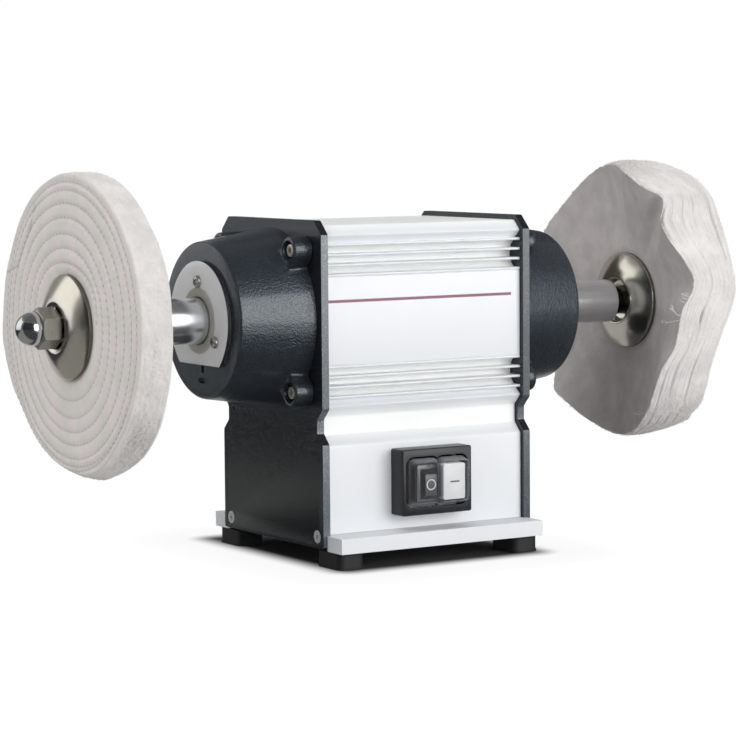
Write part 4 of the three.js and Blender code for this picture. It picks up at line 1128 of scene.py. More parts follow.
for boot in boots:
    work = bmesh.new()
    work.from_mesh(boot.data)
    back = max(work.faces, key=lambda face: face.calc_center_median().y)
    bmesh.ops.delete(work, geom=[back], context="FACES_ONLY")
    work.to_mesh(boot.data)
    work.free()
    joined.from_mesh(boot.data)
joined.to_mesh(boots[0].data)
joined.free()
bpy.data.objects.remove(boots[1])
switch_boot = boots[0]
skin = switch_boot.modifiers.new("skin", "SOLIDIFY")
skin.thickness = 0.5 * mm
skin.offset = -1
applied(switch_boot, 50)
fitted(switch_boot, "housing", "boot_clear", "switch_boot")

# Stop button: a pyramid with a flat top, moulded in black plastic, with a white ring let into its
# face. It slides in the switch on a spring.
# The stop button's face is a lighter grey than black plastic, as a painted highlight.
button_black = skin_material("button_black", (0.085, 0.085, 0.094), (0.10, 0.10, 0.11), 0.24,
                             grain=2600.0, cloud=90.0, bump=0.3,
                             extra={"Coat Weight": 0.5, "Coat Roughness": 0.2})
stop_button = dressed_copy("stop_button_dressed", "stop_button", button_black, 0.22, 2, 25)


def between_knots(value, knots):
    for (a, b), (c, d) in zip(knots, knots[1:]):
        if value <= c or (c, d) == knots[-1]:
            return b + (value - a) * (d - b) / (c - a)


def eased(piece, knots_x, knots_z):
    """The moulded cap's real outline, over the plain one of the frame"""
    for point in piece.data.vertices:
        point.co.x = between_knots(point.co.x / mm, knots_x) * mm
        point.co.z = between_knots(point.co.z / mm, knots_z) * mm


eased(stop_button, [(-16.8, -17.2), (-13.2, -12.4), (-3.6, -3.0), (0.0, -1.6)],
      [(40.75, 41.0), (46.85, 45.0), (61.65, 59.4), (67.75, 65.8)])
# The pyramid's slopes are painted darker than its face, as painted shade on the same black
# moulding.
slope_black = skin_material("slope_black", (0.009, 0.0092, 0.0105), (0.013, 0.0133, 0.015), 0.30,
                            grain=2600.0)
painted(stop_button, slope_black, lambda face: face.normal.y > -0.97)
fitted(stop_button, "stop_button", "button_black", "stop_button")
mark_white = skin_material("mark_white", (0.86, 0.86, 0.90), (0.80, 0.80, 0.84), 0.4)
stop_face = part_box("stop_button")[0].y / mm
stop_x = -7.6
stop_z = 52.5
ring_inner = 2.9
ring_outer = 3.75
ring_round = ((ring_inner, 0.1), (ring_inner + 0.08, -0.08), (ring_outer - 0.08, -0.08),
              (ring_outer, 0.1))
points = [(stop_x + radius * cos(a), stop_face + depth, stop_z + radius * sin(a))
          for a in even_angles(48) for radius, depth in ring_round]
stop_mark = mesh_object("stop_ring_mark", points, ring_faces(48, 4, True), mark_white, 50)
fitted(stop_mark, "stop_button", "button_grey")

# Start button: a cap with rounded edges, moulded in light grey plastic, with a dark bar let into
# its face. It slides beside the stop button on a spring of its own.
button_grey = skin_material("button_grey", (0.93, 0.95, 0.96), (0.90, 0.92, 0.93), 0.34,
                            grain=2400.0, cloud=60.0, bump=0.2)
start_button = dressed_copy("start_button_dressed", "start_button", button_grey, 0.5, 3, 40)
eased(start_button, [(1.4, 0.7), (18.2, 18.2)], [(40.75, 41.7), (67.75, 66.2)])
fitted(start_button, "start_button", "button_grey", "start_button")
mark_dark = skin_material("mark_dark", (0.10, 0.105, 0.11), (0.14, 0.145, 0.15), 0.4)
start_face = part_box("start_button")[0].y / mm
start_x = 9.8
start_z = 53.8
dash = [(x + start_x, z + start_z) for x, z in rounded_box(-3.7, 3.7, 0.55, 0.3, 0, 3)]
start_mark = lofted("start_bar_mark", [(start_face + 0.1, dash), (start_face - 0.07, dash)],
                    mark_dark)
fitted(start_mark, "start_button", "button_black")

# Motor shaft: one bar of turned steel through the whole machine, coloured dark. It runs in the
# two ball bearings and is threaded at both ends for the nuts.
oiled_steel = turned_metal("oiled_steel", (0.16, 0.14, 0.12), (0.09, 0.08, 0.065), 0.3, 1500.0,
                           0.3)
finished_node("motor_shaft", oiled_steel)

# Spacer sleeves: bright ground steel tubes that run through the seals and hold the flanges off
# the bearings, with a small chamfer at the free end.
satin_steel = turned_metal("satin_steel", (0.90, 0.92, 0.95), (0.84, 0.86, 0.89), 0.25, 2600.0,
                           0.0, streak=0.02)
sleeve_radius = 15.5
sleeve_end = 200.0
turned_pair("spacer_sleeve", [
    (135.6, 10.35), (135.6, sleeve_radius), (sleeve_end - 0.9, sleeve_radius),
    (sleeve_end - 0.3, sleeve_radius - 0.35), (sleeve_end, sleeve_radius - 0.9),
    (sleeve_end, 11.4), (sleeve_end - 0.7, 10.35)], even_angles(128), satin_steel, "spindle",
    "sleeve_steel", 28)

# Clamping flanges: turned steel cups, nickel plated, with a flat rim that grips the buff, a cone
# and a deep round mouth. The inner ones face the motor and the outer ones the nuts.
nickel = turned_metal("nickel", (0.66, 0.645, 0.60), (0.57, 0.555, 0.505), 0.21, 1500.0, 0.04)
dull_nickel = turned_metal("dull_nickel", (0.20, 0.19, 0.155), (0.14, 0.13, 0.105), 0.42, 1500.0,
                           0.2, 0.8)
inner_flange_face = 217.8
outer_flange_face = 236.0


def flange(name, side, face, way):
    """The face lies against the buff; the mouth opens the other way, towards the motor or nuts"""
    mouth = [(5.4, 14.4), (8.2, 16.1), (10.5, 16.1), (10.9, 16.3)]
    if way > 0:
        mouth = [(4.8, 14.15), (10.1, 14.15), (10.35, 14.4), (10.85, 16.2)]
    profile = [(4.8, 8.3), (4.8, 13.0)] + mouth + [(11.0, 16.6), (10.9, 17.5)]
    profile += [(3.3 + 7.6 * (1 - (step / 14) ** 1.45), 17.5 + 16.5 * step / 14)
                for step in range(1, 15)]
    profile += [(3.0, 34.35), (2.75, 34.55), (2.3, 34.9), (1.9, 35.0), (0.5, 35.0),
                (0.15, 34.85), (0.0, 34.5), (0.0, 8.3)]
    rings = [(face + way * depth, radius) for depth, radius in profile]
    made = ring_solid(name, rings, even_angles(160), end_place(side), nickel, True, 28)
    painted(made, dull_nickel, lambda face: abs(face.normal.x) < 0.6 and hypot(
        face.center.y, face.center.z - shaft_height * mm) > 34.2 * mm)
    fitted(made, "spindle", "flange_nickel", name.replace("_dressed", ""))


for side in ("left", "right"):
    flange(f"{side}_inner_flange_dressed", side, inner_flange_face, -1)
    flange(f"{side}_outer_flange_dressed", side, outer_flange_face, 1)

# Jam nuts: hexagons in plated steel, turned off at both faces. Each clamps its buff through the
# outer flange and locks the acorn nut.
nut_flats = 24.0
nut_zinc = turned_metal("nut_zinc", (0.50, 0.485, 0.44), (0.40, 0.385, 0.34), 0.24, 1500.0, 0.25)
nut_angles = sorted(even_angles(120) + [pi / 6 + n * pi / 3 + s * 0.02 for n in range(6)
                                        for s in (-1, 1)])
nut_shape = hexagon(nut_flats, pi / 2 - pi / 3)


def turned_off(limit):
    return lambda angle: min(nut_shape(angle), limit)


jam_low = 241.0
jam_high = 247.2
shares = [step / 4 for step in range(5)]
turned_pair("jam_nut", [
    (jam_low, 8.4), (jam_low, 11.7),
    *[(jam_low + 0.1 + 1.2 * share, turned_off(11.85 + 2.05 * share)) for share in shares],
    *[(jam_high - 1.3 + 1.2 * share, turned_off(13.9 - 2.05 * share)) for share in shares],
    (jam_high, 11.7), (jam_high, 8.4)], nut_angles, nut_zinc, "spindle", "zinc_steel", 24)

# Acorn nuts: chrome-plated steel, a hexagon with a domed end. Each is screwed over the end of the
# shaft's thread, up to its jam nut.
nut_chrome = turned_metal("nut_chrome", (0.62, 0.64, 0.67), (0.56, 0.58, 0.61), 0.16, 1200.0,
                          0.02)
hex_steel = turned_metal("hex_steel", (0.37, 0.37, 0.335), (0.28, 0.28, 0.25), 0.34, 1200.0, 0.1,
                         0.9)
cap_low = 247.3
hex_end = 259.9
dome_radius = 11.1
dome_start = 262.4
dome = [step / 20 * pi / 2 for step in range(1, 20)]
turned_pair("cap_nut", [
    (cap_low + 16.0, 0.6), (cap_low + 16.0, 8.4), (cap_low, 8.4), (cap_low, 12.9),
    (cap_low + 0.1, turned_off(13.5)), (cap_low + 0.3, turned_off(13.9)),
    (hex_end - 1.5, turned_off(13.9)),
    *[(hex_end - 1.5 + 1.4 * step / 5, turned_off(13.9 - 2.4 * step / 5)) for step in range(1, 6)],
    (hex_end, 11.05), (hex_end + 0.25, 10.9), (hex_end + 0.6, 11.05), (dome_start, dome_radius),
    *[(dome_start + dome_radius * sin(angle), dome_radius * cos(angle)) for angle in dome]],
    nut_angles, nut_chrome, "spindle", "nut_chrome", 24, hex_steel,
    lambda face: abs(face.center.x) < (hex_end + 0.1) * mm, closed=False)


# Left buff: cotton plies sewn together in a spiral, so that the face swells between the rows of
# stitches. Its rim is cut round and fluffed by use. The flanges grip it at the hub.
def smooth_step(share):
    share = min(max(share, 0.0), 1.0)
    return share * share * (3 - 2 * share)


def through(pairs, period=None):
    """A smooth curve through (place, value) pairs, closed where it has a period"""
    pairs = sorted(pairs)
    if period:
        pairs = ([(x - period, y) for x, y in pairs[-3:]] + pairs
                 + [(x + period, y) for x, y in pairs[:3]])
    xs = [x for x, y in pairs]
    ys = [y for x, y in pairs]
    last = len(xs) - 1
    slopes = []
    for i in range(last + 1):
        before, after = max(i - 1, 0), min(i + 1, last)
        slopes.append((ys[after] - ys[before]) / (xs[after] - xs[before]))

    def value(x):
        if period:
            x = x % period
        x = min(max(x, xs[0]), xs[-1])
        i = 0
        while i < last - 1 and xs[i + 1] < x:
            i += 1
        wide = xs[i + 1] - xs[i]
        t = (x - xs[i]) / wide
        return ((2 * t ** 3 - 3 * t ** 2 + 1) * ys[i]
                + (t ** 3 - 2 * t ** 2 + t) * wide * slopes[i]
                + (3 * t ** 2 - 2 * t ** 3) * ys[i + 1]
                + (t ** 3 - t ** 2) * wide * slopes[i + 1])
    return value


def lump(x, y, z, size, seed=0.0):
    return noise.noise(Vector((x / size + seed, y / size + seed * 0.7, z / size - seed)))


def turned_cloth(name, columns, rings, spot, material, across=None):
    """A closed ring of cloth. spot(ring, degrees) gives x, radius and the named marks of a point,
    with degrees counted from the front upwards; across gives a ring's place over the rim"""
    points, marks, weave = [], {}, []
    for ring in rings:
        for column in range(columns):
            degree = 360.0 * column / columns
            x, size, marked = spot(ring, degree)
            angle = radians(degree)
            points.append((x * mm, -size * cos(angle) * mm,
                           (shaft_height + size * sin(angle)) * mm))
            for key, amount in marked.items():
                marks.setdefault(key, []).append(amount)
    mesh = bpy.data.meshes.new(name)
    mesh.from_pydata(points, [], ring_faces(len(rings), columns, True))
    if across:
        for ring, after in zip(rings, rings[1:] + rings[:1]):
            for column in range(columns):
                for r, c in ((ring, column), (ring, column + 1), (after, column + 1),
                             (after, column)):
                    weave += [c / columns, across(r)]
        mesh.uv_layers.new(name="weave").data.foreach_set("uv", weave)
    for key, amounts in marks.items():
        mesh.attributes.new(key, "FLOAT", "POINT").data.foreach_set("value", amounts)
    work = bmesh.new()
    work.from_mesh(mesh)
    bmesh.ops.recalc_face_normals(work, faces=work.faces)
    work.to_mesh(mesh)
    work.free()
    mesh.shade_smooth()
    mesh.materials.append(material)
    return placed(name, mesh)


# Fine weave, loose fibres and a soft mottling of raw cotton
cotton_weave, given, gives = shader_group(
    "cotton_weave", {"Place": (0, 0, 0), "Thread Scale": 420.0}, ("Height", "Mottle", "Speck"))
warp, weft = [add_node(cotton_weave, "ShaderNodeTexWave", {
    "Vector": given["Place"], "Scale": given["Thread Scale"], "Distortion": 1.5},
    bands_direction=way).outputs["Fac"] for way in "ZY"]
down = grainy(cotton_weave, given["Place"], 850.0, 4.0, 0.65)
raised = calc(cotton_weave, "ADD", calc(cotton_weave, "MAXIMUM", warp, weft),
              calc(cotton_weave, "MULTIPLY", down, 2.4))
speck = grainy(cotton_weave, given["Place"], 620.0, 2.0)
plug(cotton_weave, raised, gives["Height"])
plug(cotton_weave, grainy(cotton_weave, given["Place"], 55.0, 5.0, 0.6), gives["Mottle"])
plug(cotton_weave, mapped(cotton_weave, speck, (0.56, 0.66)), gives["Speck"])


def marked(tree, name):
    return add_node(tree, "ShaderNodeAttribute", attribute_name=name).outputs["Fac"]


def cotton_material(name, face_colour, face_shade, rim_colour, seam_shade_colour, soil_and_shade_colour, bump):
    material, tree, shader = bare_material(name, face_colour, 0.93, 0.0, {
        "Specular IOR Level": 0.15, "Sheen Weight": 0.12, "Sheen Roughness": 0.5})
    weave = placed_group(tree, cotton_weave, {"Place": object_place(tree)})
    spread = mapped(tree, weave["Mottle"], (0.36, 0.64))
    tone = mixed_colour(tree, spread, face_colour, face_shade)
    brushed = mixed_colour(tree, spread, rim_colour, tuple(0.87 * part for part in rim_colour))
    tone = mixed_colour(tree, marked(tree, "rim"), tone, brushed)
    # A thin line along each seam takes the row colour, as painted shade in the seam's channel.
    tone = mixed_colour(tree, marked(tree, "row"), tone, seam_shade_colour)
    # The soil mark carries real dirt and painted shade: shade in creases, next to the flanges, in
    # the gaps between plies and towards the front of the right buff.
    soiled_and_shaded = calc(tree, "MULTIPLY", marked(tree, "soil"), mapped(tree, weave["Speck"],
                                                                 to=(0.35, 1.0)))
    plug(tree, mixed_colour(tree, soiled_and_shaded, tone, soil_and_shade_colour), shader["Base Color"])
    bumped(tree, shader, weave["Height"], bump, 0.00025)
    return material


cotton_stitched = cotton_material(
    "cotton_stitched", (0.86, 0.785, 0.785), (0.765, 0.76, 0.71), (0.88, 0.86, 0.835),
    (0.55, 0.505, 0.485), (0.26, 0.235, 0.215), 0.8)
stitch_length = 5.2
face_edge = through([(0, 102.6), (14, 103.0), (24, 103.2), (33, 103.0), (44, 102.2), (54, 101.6),
                     (67, 100.8), (78, 100.0), (93, 100.4), (106, 99.8), (119, 100.3),
                     (134, 100.2), (151, 100.1), (165, 101.6), (177, 102.6), (187, 104.6),
                     (194, 103.2), (208, 100.0), (219, 97.2), (231, 95.8), (246, 94.8),
                     (262, 95.2), (277, 97.4), (290, 98.8), (299, 98.9), (313, 97.6),
                     (328, 99.0), (339, 99.8), (352, 101.4)], 360)
back_edge = through([(1, 101.9), (9, 102.2), (19, 102.8), (28, 102.4), (40, 100.2), (53, 99.8),
                     (68, 99.7), (82, 99.7), (92, 100.5), (120, 99.6), (150, 99.8), (180, 101.0),
                     (210, 99.8), (235, 99.2), (255, 101.0), (271, 102.2), (281, 100.0),
                     (296, 99.8), (311, 101.8), (324, 102.6), (336, 102.0), (346, 102.1)], 360)
row_path = through([(-84, 41.0), (-56, 43.6), (-19, 41.2), (11, 42.6), (35, 46.8), (64, 50.9),
                    (120, 50.4), (186, 48.3), (276, 49.0), (360, 51.3), (431, 59.1), (546, 59.8),
                    (636, 58.0), (720, 60.7), (791, 68.4), (906, 69.1), (996, 68.0), (1080, 71.4),
                    (1151, 76.6), (1266, 77.5), (1356, 79.4), (1440, 80.8), (1511, 84.9),
                    (1626, 86.4), (1716, 89.4), (1800, 89.5), (1871, 91.2), (1986, 91.8),
                    (2076, 96.0), (2160, 94.9), (2300, 95.4), (2430, 92.6)])
row_first = -84
row_last = 2400
row_spots = []
run = 0.0
before = row_path(row_first)
for degree in range(row_first, row_last + 1, 2):
    size = row_path(degree)
    run += hypot(size - before, radians(2) * size) if degree > row_first else 0.0
    before = size
    row_spots.append((degree, size, run))


def rows_at(degree):
    """The rows that cross a ray: radius and the length of seam sewn up to there"""
    found = []
    turn = degree - 90.0
    while turn > row_first:
        turn -= 360.0
    turn += 360.0
    while turn < row_last:
        index = min(int((turn - row_first) / 2), len(row_spots) - 2)
        share = (turn - row_first) / 2 - index
        first, second = row_spots[index], row_spots[index + 1]
        found.append((first[1] + (second[1] - first[1]) * share,
                      first[2] + (second[2] - first[2]) * share))
        turn += 360.0
    return found


row_cache = {}
crease_line = [(162, 101.5), (158, 92.0), (154, 84.7), (148, 83.5), (139, 83.2), (130, 84.6),
               (122, 91.7)]


def near_row(size, degree):
    if degree not in row_cache:
        row_cache[degree] = rows_at(degree)
    return min((abs(size - radius), run) for radius, run in row_cache[degree])


def near_crease(size, degree):
    y, z = size * cos(radians(degree)), size * sin(radians(degree))
    best = 99.0
    for (a, ra), (b, rb) in zip(crease_line, crease_line[1:]):
        p = Vector((ra * cos(radians(a)), ra * sin(radians(a))))
        q = Vector((rb * cos(radians(b)), rb * sin(radians(b))))
        share = min(max((Vector((y, z)) - p).dot(q - p) / (q - p).length_squared, 0), 1)
        best = min(best, (p + (q - p) * share - Vector((y, z))).length)
    return best


hub_grip = 35.4
grip_near = 218.1
grip_far = 235.7
unmarked = {"row": 0, "soil": 0, "rim": 0, "fray": 0}
rim_round = 1.7
left_back = 213.0


def face_swell(size, degree, edge):
    """How far the face stands out of its seam plane, and how close the nearest row lies, which
    sets the painted shade along the seam's channel
    """
    y, z = -size * cos(radians(degree)), size * sin(radians(degree))
    apart, run = near_row(size, degree)
    swell = 1.0 * smooth_step((size - hub_grip) / 9) - 0.7 * smooth_step((size - 88) / (edge - 88))
    swell -= 0.95 * exp(-(apart / 1.9) ** 2)
    swell -= 0.20 * cos(2 * pi * run / stitch_length) * exp(-(apart / 2.8) ** 2)
    swell += 0.30 * lump(y, z, 3, 26) + 0.12 * lump(y, z, 9, 7)
    return swell, exp(-(apart / 0.8) ** 2)


def left_spot(ring, degree):
    part, share = ring
    edge = face_edge(degree) - rim_round
    back = back_edge(degree) - rim_round
    soil = row = rim = fray = 0.0
    if part == "hub":
        return -(grip_far if share > 0 else grip_near), abs(share), unmarked
    if part == "face":
        size = hub_grip + (edge - hub_grip) * share
        swell, row = face_swell(size, degree, edge)
        x = grip_far + swell
        # Along the crease the face dips and is painted darker, as painted shade in the fold.
        crease = near_crease(size, degree) if 115 < degree < 168 else 99.0
        x -= 0.6 * exp(-(crease / 1.1) ** 2)
        soil = 0.8 * exp(-(crease / 0.95) ** 2)
        # Darker towards the rim, low at the back; painted shade in a ring where the cloth meets
        # the flange.
        soil += 0.20 * smooth_step((size - 78) / 16) * exp(-((degree - 205) / 34) ** 2)
        soil += 0.22 * exp(-((size - hub_grip) / 2.2) ** 2)
        row *= 0.38
    elif part == "back":
        size = hub_grip + (back - hub_grip) * (1 - share)
        swell, row = face_swell(size, degree, back)
        x = grip_near - (grip_near - left_back) * smooth_step((size - hub_grip) / 12) - swell
        row *= 0.55
    else:
        first = grip_far + face_swell(edge, degree, edge)[0]
        last = left_back - face_swell(back, degree, back)[0]
        frayed = exp(-((degree - 312) / 17) ** 4) * smooth_step((share - 0.05) / 0.25)
        if part == "outer_corner":
            x = first - rim_round * (1 - cos(share * pi / 2))
            size = edge + rim_round * sin(share * pi / 2)
            rim = 0.75 * share
            soil = 0.16 * (1 - abs(2 * share - 1))
            frayed = 0.0
        elif part == "inner_corner":
            x = last + rim_round * (1 - sin(share * pi / 2))
            size = back + rim_round * cos(share * pi / 2)
            rim = 1 - 0.6 * share
            frayed *= 1 - share
        else:
            x = first - rim_round + (last - first + 2 * rim_round) * share
            size = edge + (back - edge) * share + rim_round + 0.5 * sin(pi * share)
            y, z = size * cos(radians(degree)), size * sin(radians(degree))
            size += 0.45 * lump(x, y, z, 9, 4) + 0.35 * lump(x * 2, y, z, 4, 7)
            size += 0.55 * lump(x, y, z, 2.4, 11)
            size -= 0.16 * abs(sin(pi * (share * 11 + 0.5 * lump(y, z, 0, 30, 2))))
            size += frayed * (0.9 * lump(x, y, z, 2.6, 3) - 0.5)
            rim = 1.0
            marks_here = exp(-((share - 0.42) / 0.1) ** 4) * exp(-((degree - 352) / 11) ** 4)
            soil = 0.55 * marks_here * smooth_step(4 * lump(x * 2, y, z, 1.3, 5))
            soil += 0.05 * smooth_step(3 * lump(x, y, z, 11, 9))
        soil += 0.62 * frayed
        fray = 0.25 + 1.4 * frayed
    return -x, size, {"row": row, "soil": soil, "rim": rim, "fray": fray}


left_rings = [("hub", 8.6), ("hub", 22.0), ("hub", 33.0)]
left_rings += [("face", step / 88) for step in range(89)]
left_rings += [("outer_corner", step / 4) for step in range(1, 5)]
left_rings += [("rim", step / 34) for step in range(1, 34)]
left_rings += [("inner_corner", step / 4) for step in range(5)]
left_rings += [("back", step / 52) for step in range(1, 53)]
left_rings += [("hub", -33.0), ("hub", -8.6)]
left_buff = turned_cloth("left_stitched_buff_dressed", 512, left_rings, left_spot, cotton_stitched)
fitted(left_buff, "spindle", "cotton_stitched", "left_stitched_buff")


# Stitches: one thread sewn round and round through the plies. The nodes lay a stitch at each step
# of a path and set it down on the cloth.
sewn, given = node_tree("sewn_row", {
    "Seam": "Object", "Stitch": "Object", "Cloth": "Object", "Stitch Pitch": "Float",
    "Outward": "Vector", "Finish": "Material"})
curve = add_node(sewn, "GeometryNodeMeshToCurve", {0: shape_of(sewn, given["Seam"])})
evened = add_node(sewn, "GeometryNodeResampleCurve", {
    "Curve": curve, "Length": given["Stitch Pitch"]}, mode="LENGTH")
nearest = add_node(sewn, "GeometryNodeProximity", {
    0: shape_of(sewn, given["Cloth"]), "Source Position": add_node(
        sewn, "GeometryNodeInputPosition")}, target_element="FACES")
laid = add_node(sewn, "GeometryNodeSetPosition", {
    "Geometry": evened, "Position": nearest.outputs["Position"]})
turn = add_node(sewn, "FunctionNodeAxesToRotation", {
    0: given["Outward"], 1: add_node(sewn, "GeometryNodeInputTangent")}, primary_axis="Z",
    secondary_axis="X")
stood = add_node(sewn, "GeometryNodeInstanceOnPoints", {
    "Points": laid, "Instance": shape_of(sewn, given["Stitch"]), "Rotation": turn})
finish_tree(sewn, stood, given["Finish"])
stitch_thread = skin_material("stitch_thread", (0.52, 0.47, 0.45), (0.40, 0.36, 0.34), 0.9,
                              grain=3000.0, bump=0.6)


def little_bar(name, length, wide, high):
    sides = 6
    steps = (0, 0.12, 0.5, 0.88, 1)
    points = []
    for share in steps:
        swell = sqrt(max(1 - (2 * share - 1) ** 4, 0.04))
        points += [((share - 0.5) * length, wide / 2 * swell * cos(angle),
                    high / 2 * swell * sin(angle)) for angle in even_angles(sides)]
    faces = ring_faces(len(steps), sides) + end_faces(len(steps), sides)
    return mesh_object(name, points, faces, None, 60)


def polyline(name, points):
    mesh = bpy.data.meshes.new(name)
    mesh.from_pydata([(x * mm, y * mm, z * mm) for x, y, z in points],
                     [(i, i + 1) for i in range(len(points) - 1)], [])
    return placed(name, mesh)


def stitched(name, x, spots, cloth, pitch, outward, slot):
    """A row of stitches on the cloth near x; spots are degrees and radius"""
    seam = polyline("seam", [(x, -size * cos(radians(degree)),
                              shaft_height + size * sin(radians(degree)))
                             for degree, size in spots])
    grown(name, sewn, {"Seam": seam, "Stitch": one_stitch, "Cloth": cloth,
                       "Stitch Pitch": pitch * mm, "Outward": outward, "Finish": stitch_thread},
          "spindle", slot)
    bpy.data.objects.remove(seam)


one_stitch = little_bar("one_stitch", 2.3, 0.5, 0.42)
spiral = [(degree + 90, size) for degree, size, run in row_spots]
stitched("left_buff_face_stitches", -236.6, spiral, left_buff, stitch_length, (-1, 0, 0),
         "cotton_stitched")
stitched("left_buff_back_stitches", -212.6, spiral, left_buff, stitch_length, (1, 0, 0),
         "cotton_stitched")

# Down: short fibres of cotton that stand out of a worn rim, thicker where it is frayed. They hang
# in the weave by one end.
down, given = node_tree("cotton_down", {
    "Cloth": "Object", "Fibre": "Object", "Density": "Float", "Lean": "Float",
    "Longest": "Float", "Seed": "Int", "Finish": "Material"})
frayed = add_node(down, "GeometryNodeInputNamedAttribute", {"Name": "fray"}, data_type="FLOAT")
spots = add_node(down, "GeometryNodeDistributePointsOnFaces", {
    "Mesh": shape_of(down, given["Cloth"]), "Seed": given["Seed"],
    "Density": calc(down, "MULTIPLY", frayed.outputs["Attribute"], given["Density"])}).outputs
lean = calc(down, "MULTIPLY", given["Lean"], -1.0)
chance = add_node(down, "FunctionNodeRandomValue", {
    0: combined(down, X=lean, Y=lean), "Seed": given["Seed"],
    1: combined(down, X=given["Lean"], Y=given["Lean"], Z=2 * pi)}, data_type="FLOAT_VECTOR")
size = add_node(down, "FunctionNodeRandomValue", {
    2: 0.3, 3: given["Longest"], "Seed": given["Seed"]}, data_type="FLOAT")
stood = add_node(down, "GeometryNodeInstanceOnPoints", {
    "Points": spots["Points"], "Instance": shape_of(down, given["Fibre"]),
    "Rotation": spots["Rotation"], "Scale": size.outputs[1]})
leaned = add_node(down, "GeometryNodeRotateInstances", {"Instances": stood, "Rotation": chance})
finish_tree(down, leaned, given["Finish"])
down_white = skin_material("down_white", (0.78, 0.75, 0.725), (0.66, 0.63, 0.605), 0.95,
                           grain=1500.0, cloud=300.0)
points = [(bend + size * cos(angle), size * sin(angle), height)
          for height, bend, size in ((-0.2, 0, 0.10), (0.7, 0.15, 0.09), (1.4, 0.6, 0.03))
          for angle in even_angles(3)]
fibre = mesh_object("fibre", points, ring_faces(3, 3) + [(0, 2, 1), (6, 7, 8)], None, 80)
grown("left_buff_down", down, {"Cloth": left_buff, "Fibre": fibre, "Density": 4.6e5, "Lean": 1.1,
      "Longest": 1.2, "Seed": 21, "Finish": down_white}, "spindle", "cotton_stitched")

# Right buff: loose cotton plies held only by the flanges and one row of stitches at the hub. The
# plies fan out to a waved rim, with gaps where they part, and threads hang from the cut edge.
# The right buff's faces carry a darker colour than its rim, as painted shade on the same cloth.
cotton_loose = cotton_material(
    "cotton_loose", (0.645, 0.605, 0.595), (0.53, 0.495, 0.487), (0.90, 0.88, 0.865),
    (0.30, 0.27, 0.255), (0.24, 0.22, 0.205), 0.6)
ply_lines, given, gives = shader_group(
    "ply_lines", {"Weave": (0, 0, 0), "Plies": 46.0}, ("Line", "Height"))
apart = add_node(ply_lines, "ShaderNodeSeparateXYZ", {0: given["Weave"]}).outputs
track = combined(ply_lines, X=calc(ply_lines, "MULTIPLY", apart["X"], 14.0),
                 Y=calc(ply_lines, "MULTIPLY", apart["Y"], given["Plies"]))
line = grainy(ply_lines, track, 1.0, 3.0, 0.6)
plug(ply_lines, mapped(ply_lines, line, (0.44, 0.36)), gives["Line"])
plug(ply_lines, line, gives["Height"])
tree = cotton_loose.node_tree
shader = tree.nodes["Principled BSDF"].inputs
weave_map = add_node(tree, "ShaderNodeUVMap", uv_map="weave")
lines = placed_group(tree, ply_lines, {"Weave": weave_map})
on_rim = marked(tree, "rim")
# Thin dark lines across the rim between the plies, as painted shade in the gaps between them.
ply_gap_shade = calc(tree, "MULTIPLY", calc(tree, "MULTIPLY", lines["Line"], on_rim), 0.34)
under = shader["Base Color"].links[0].from_socket
plug(tree, mixed_colour(tree, ply_gap_shade, under, (0.52, 0.50, 0.475)), shader["Base Color"])
ply_bump = add_node(tree, "ShaderNodeBump", {
    "Height": calc(tree, "MULTIPLY", lines["Height"], on_rim), "Strength": 0.6,
    "Distance": 0.0011, "Normal": shader["Normal"].links[0].from_socket})
plug(tree, ply_bump, shader["Normal"])

inner_edge = through([(1, 195), (6, 201), (11, 204), (19, 200), (29, 191), (38, 190), (47, 200),
                      (52, 202), (57, 194), (63, 191), (74, 194), (86, 203), (96, 209), (104, 212),
                      (129, 212), (137, 210), (147, 206), (156, 205), (180, 207), (200, 211),
                      (214, 211), (222, 204), (227, 200), (234, 203), (241, 206), (256, 212),
                      (270, 211), (291, 200), (306, 191), (320, 185), (333, 184), (342, 190),
                      (349, 191), (356, 192)], 360)
outer_edge = through([(0, 239), (7, 242), (18, 242), (29, 243), (41, 245), (50, 248), (61, 248),
                      (75, 243), (90, 238), (110, 236), (135, 234), (160, 236), (185, 240),
                      (210, 241), (235, 236), (255, 228), (273, 226), (286, 233), (298, 239),
                      (304, 236.5), (314, 235), (330, 230), (341, 230), (350, 233)], 360)
# Gaps between plies: place over the rim, first and last angle, width over the rim, depth
parted = [(0.045, 28, 47, 0.016, 3.6), (0.05, 50, 64, 0.018, 3.2), (0.86, 16, 60, 0.016, 2.6),
          (0.80, 30, 84, 0.010, 1.4), (0.42, -14, 24, 0.010, 1.5), (0.39, -8, 1, 0.022, 3.4),
          (0.36, 24, 66, 0.010, 1.3), (0.27, -44, -12, 0.014, 1.9), (0.61, -48, -12, 0.013, 1.8),
          (0.11, -58, -18, 0.010, 1.6), (0.15, -80, -46, 0.012, 2.2), (0.30, -84, -52, 0.014, 2.4),
          (0.47, -86, -50, 0.012, 2.2), (0.66, -88, -44, 0.013, 2.0), (0.82, -84, -56, 0.012, 1.8),
          (0.93, -40, 30, 0.008, 1.2), (0.55, 28, 80, 0.008, 1.0), (0.17, 20, 50, 0.008, 1.0)]
chance = random.Random(44)
for count in range(34):
    start = chance.uniform(0, 360)
    parted.append((chance.uniform(0.04, 0.96), start, start + chance.uniform(14, 60),
                   chance.uniform(0.005, 0.009), chance.uniform(0.35, 1.1)))
right_rim_steps = 112


def parting(across, degree):
    depth = 0.0
    for place, first, last, wide, deep in parted:
        turn = (degree - first) % 360.0
        reach = last - first
        if turn < reach:
            open_here = sin(pi * turn / reach) ** 0.7
            drift = place + 0.012 * sin(radians(degree) * 3 + place * 40)
            gap = (across - drift) / (wide * (0.5 + 0.5 * open_here))
            if abs(gap) < 2.6:
                depth = max(depth, deep * open_here * exp(-gap * gap))
    return depth


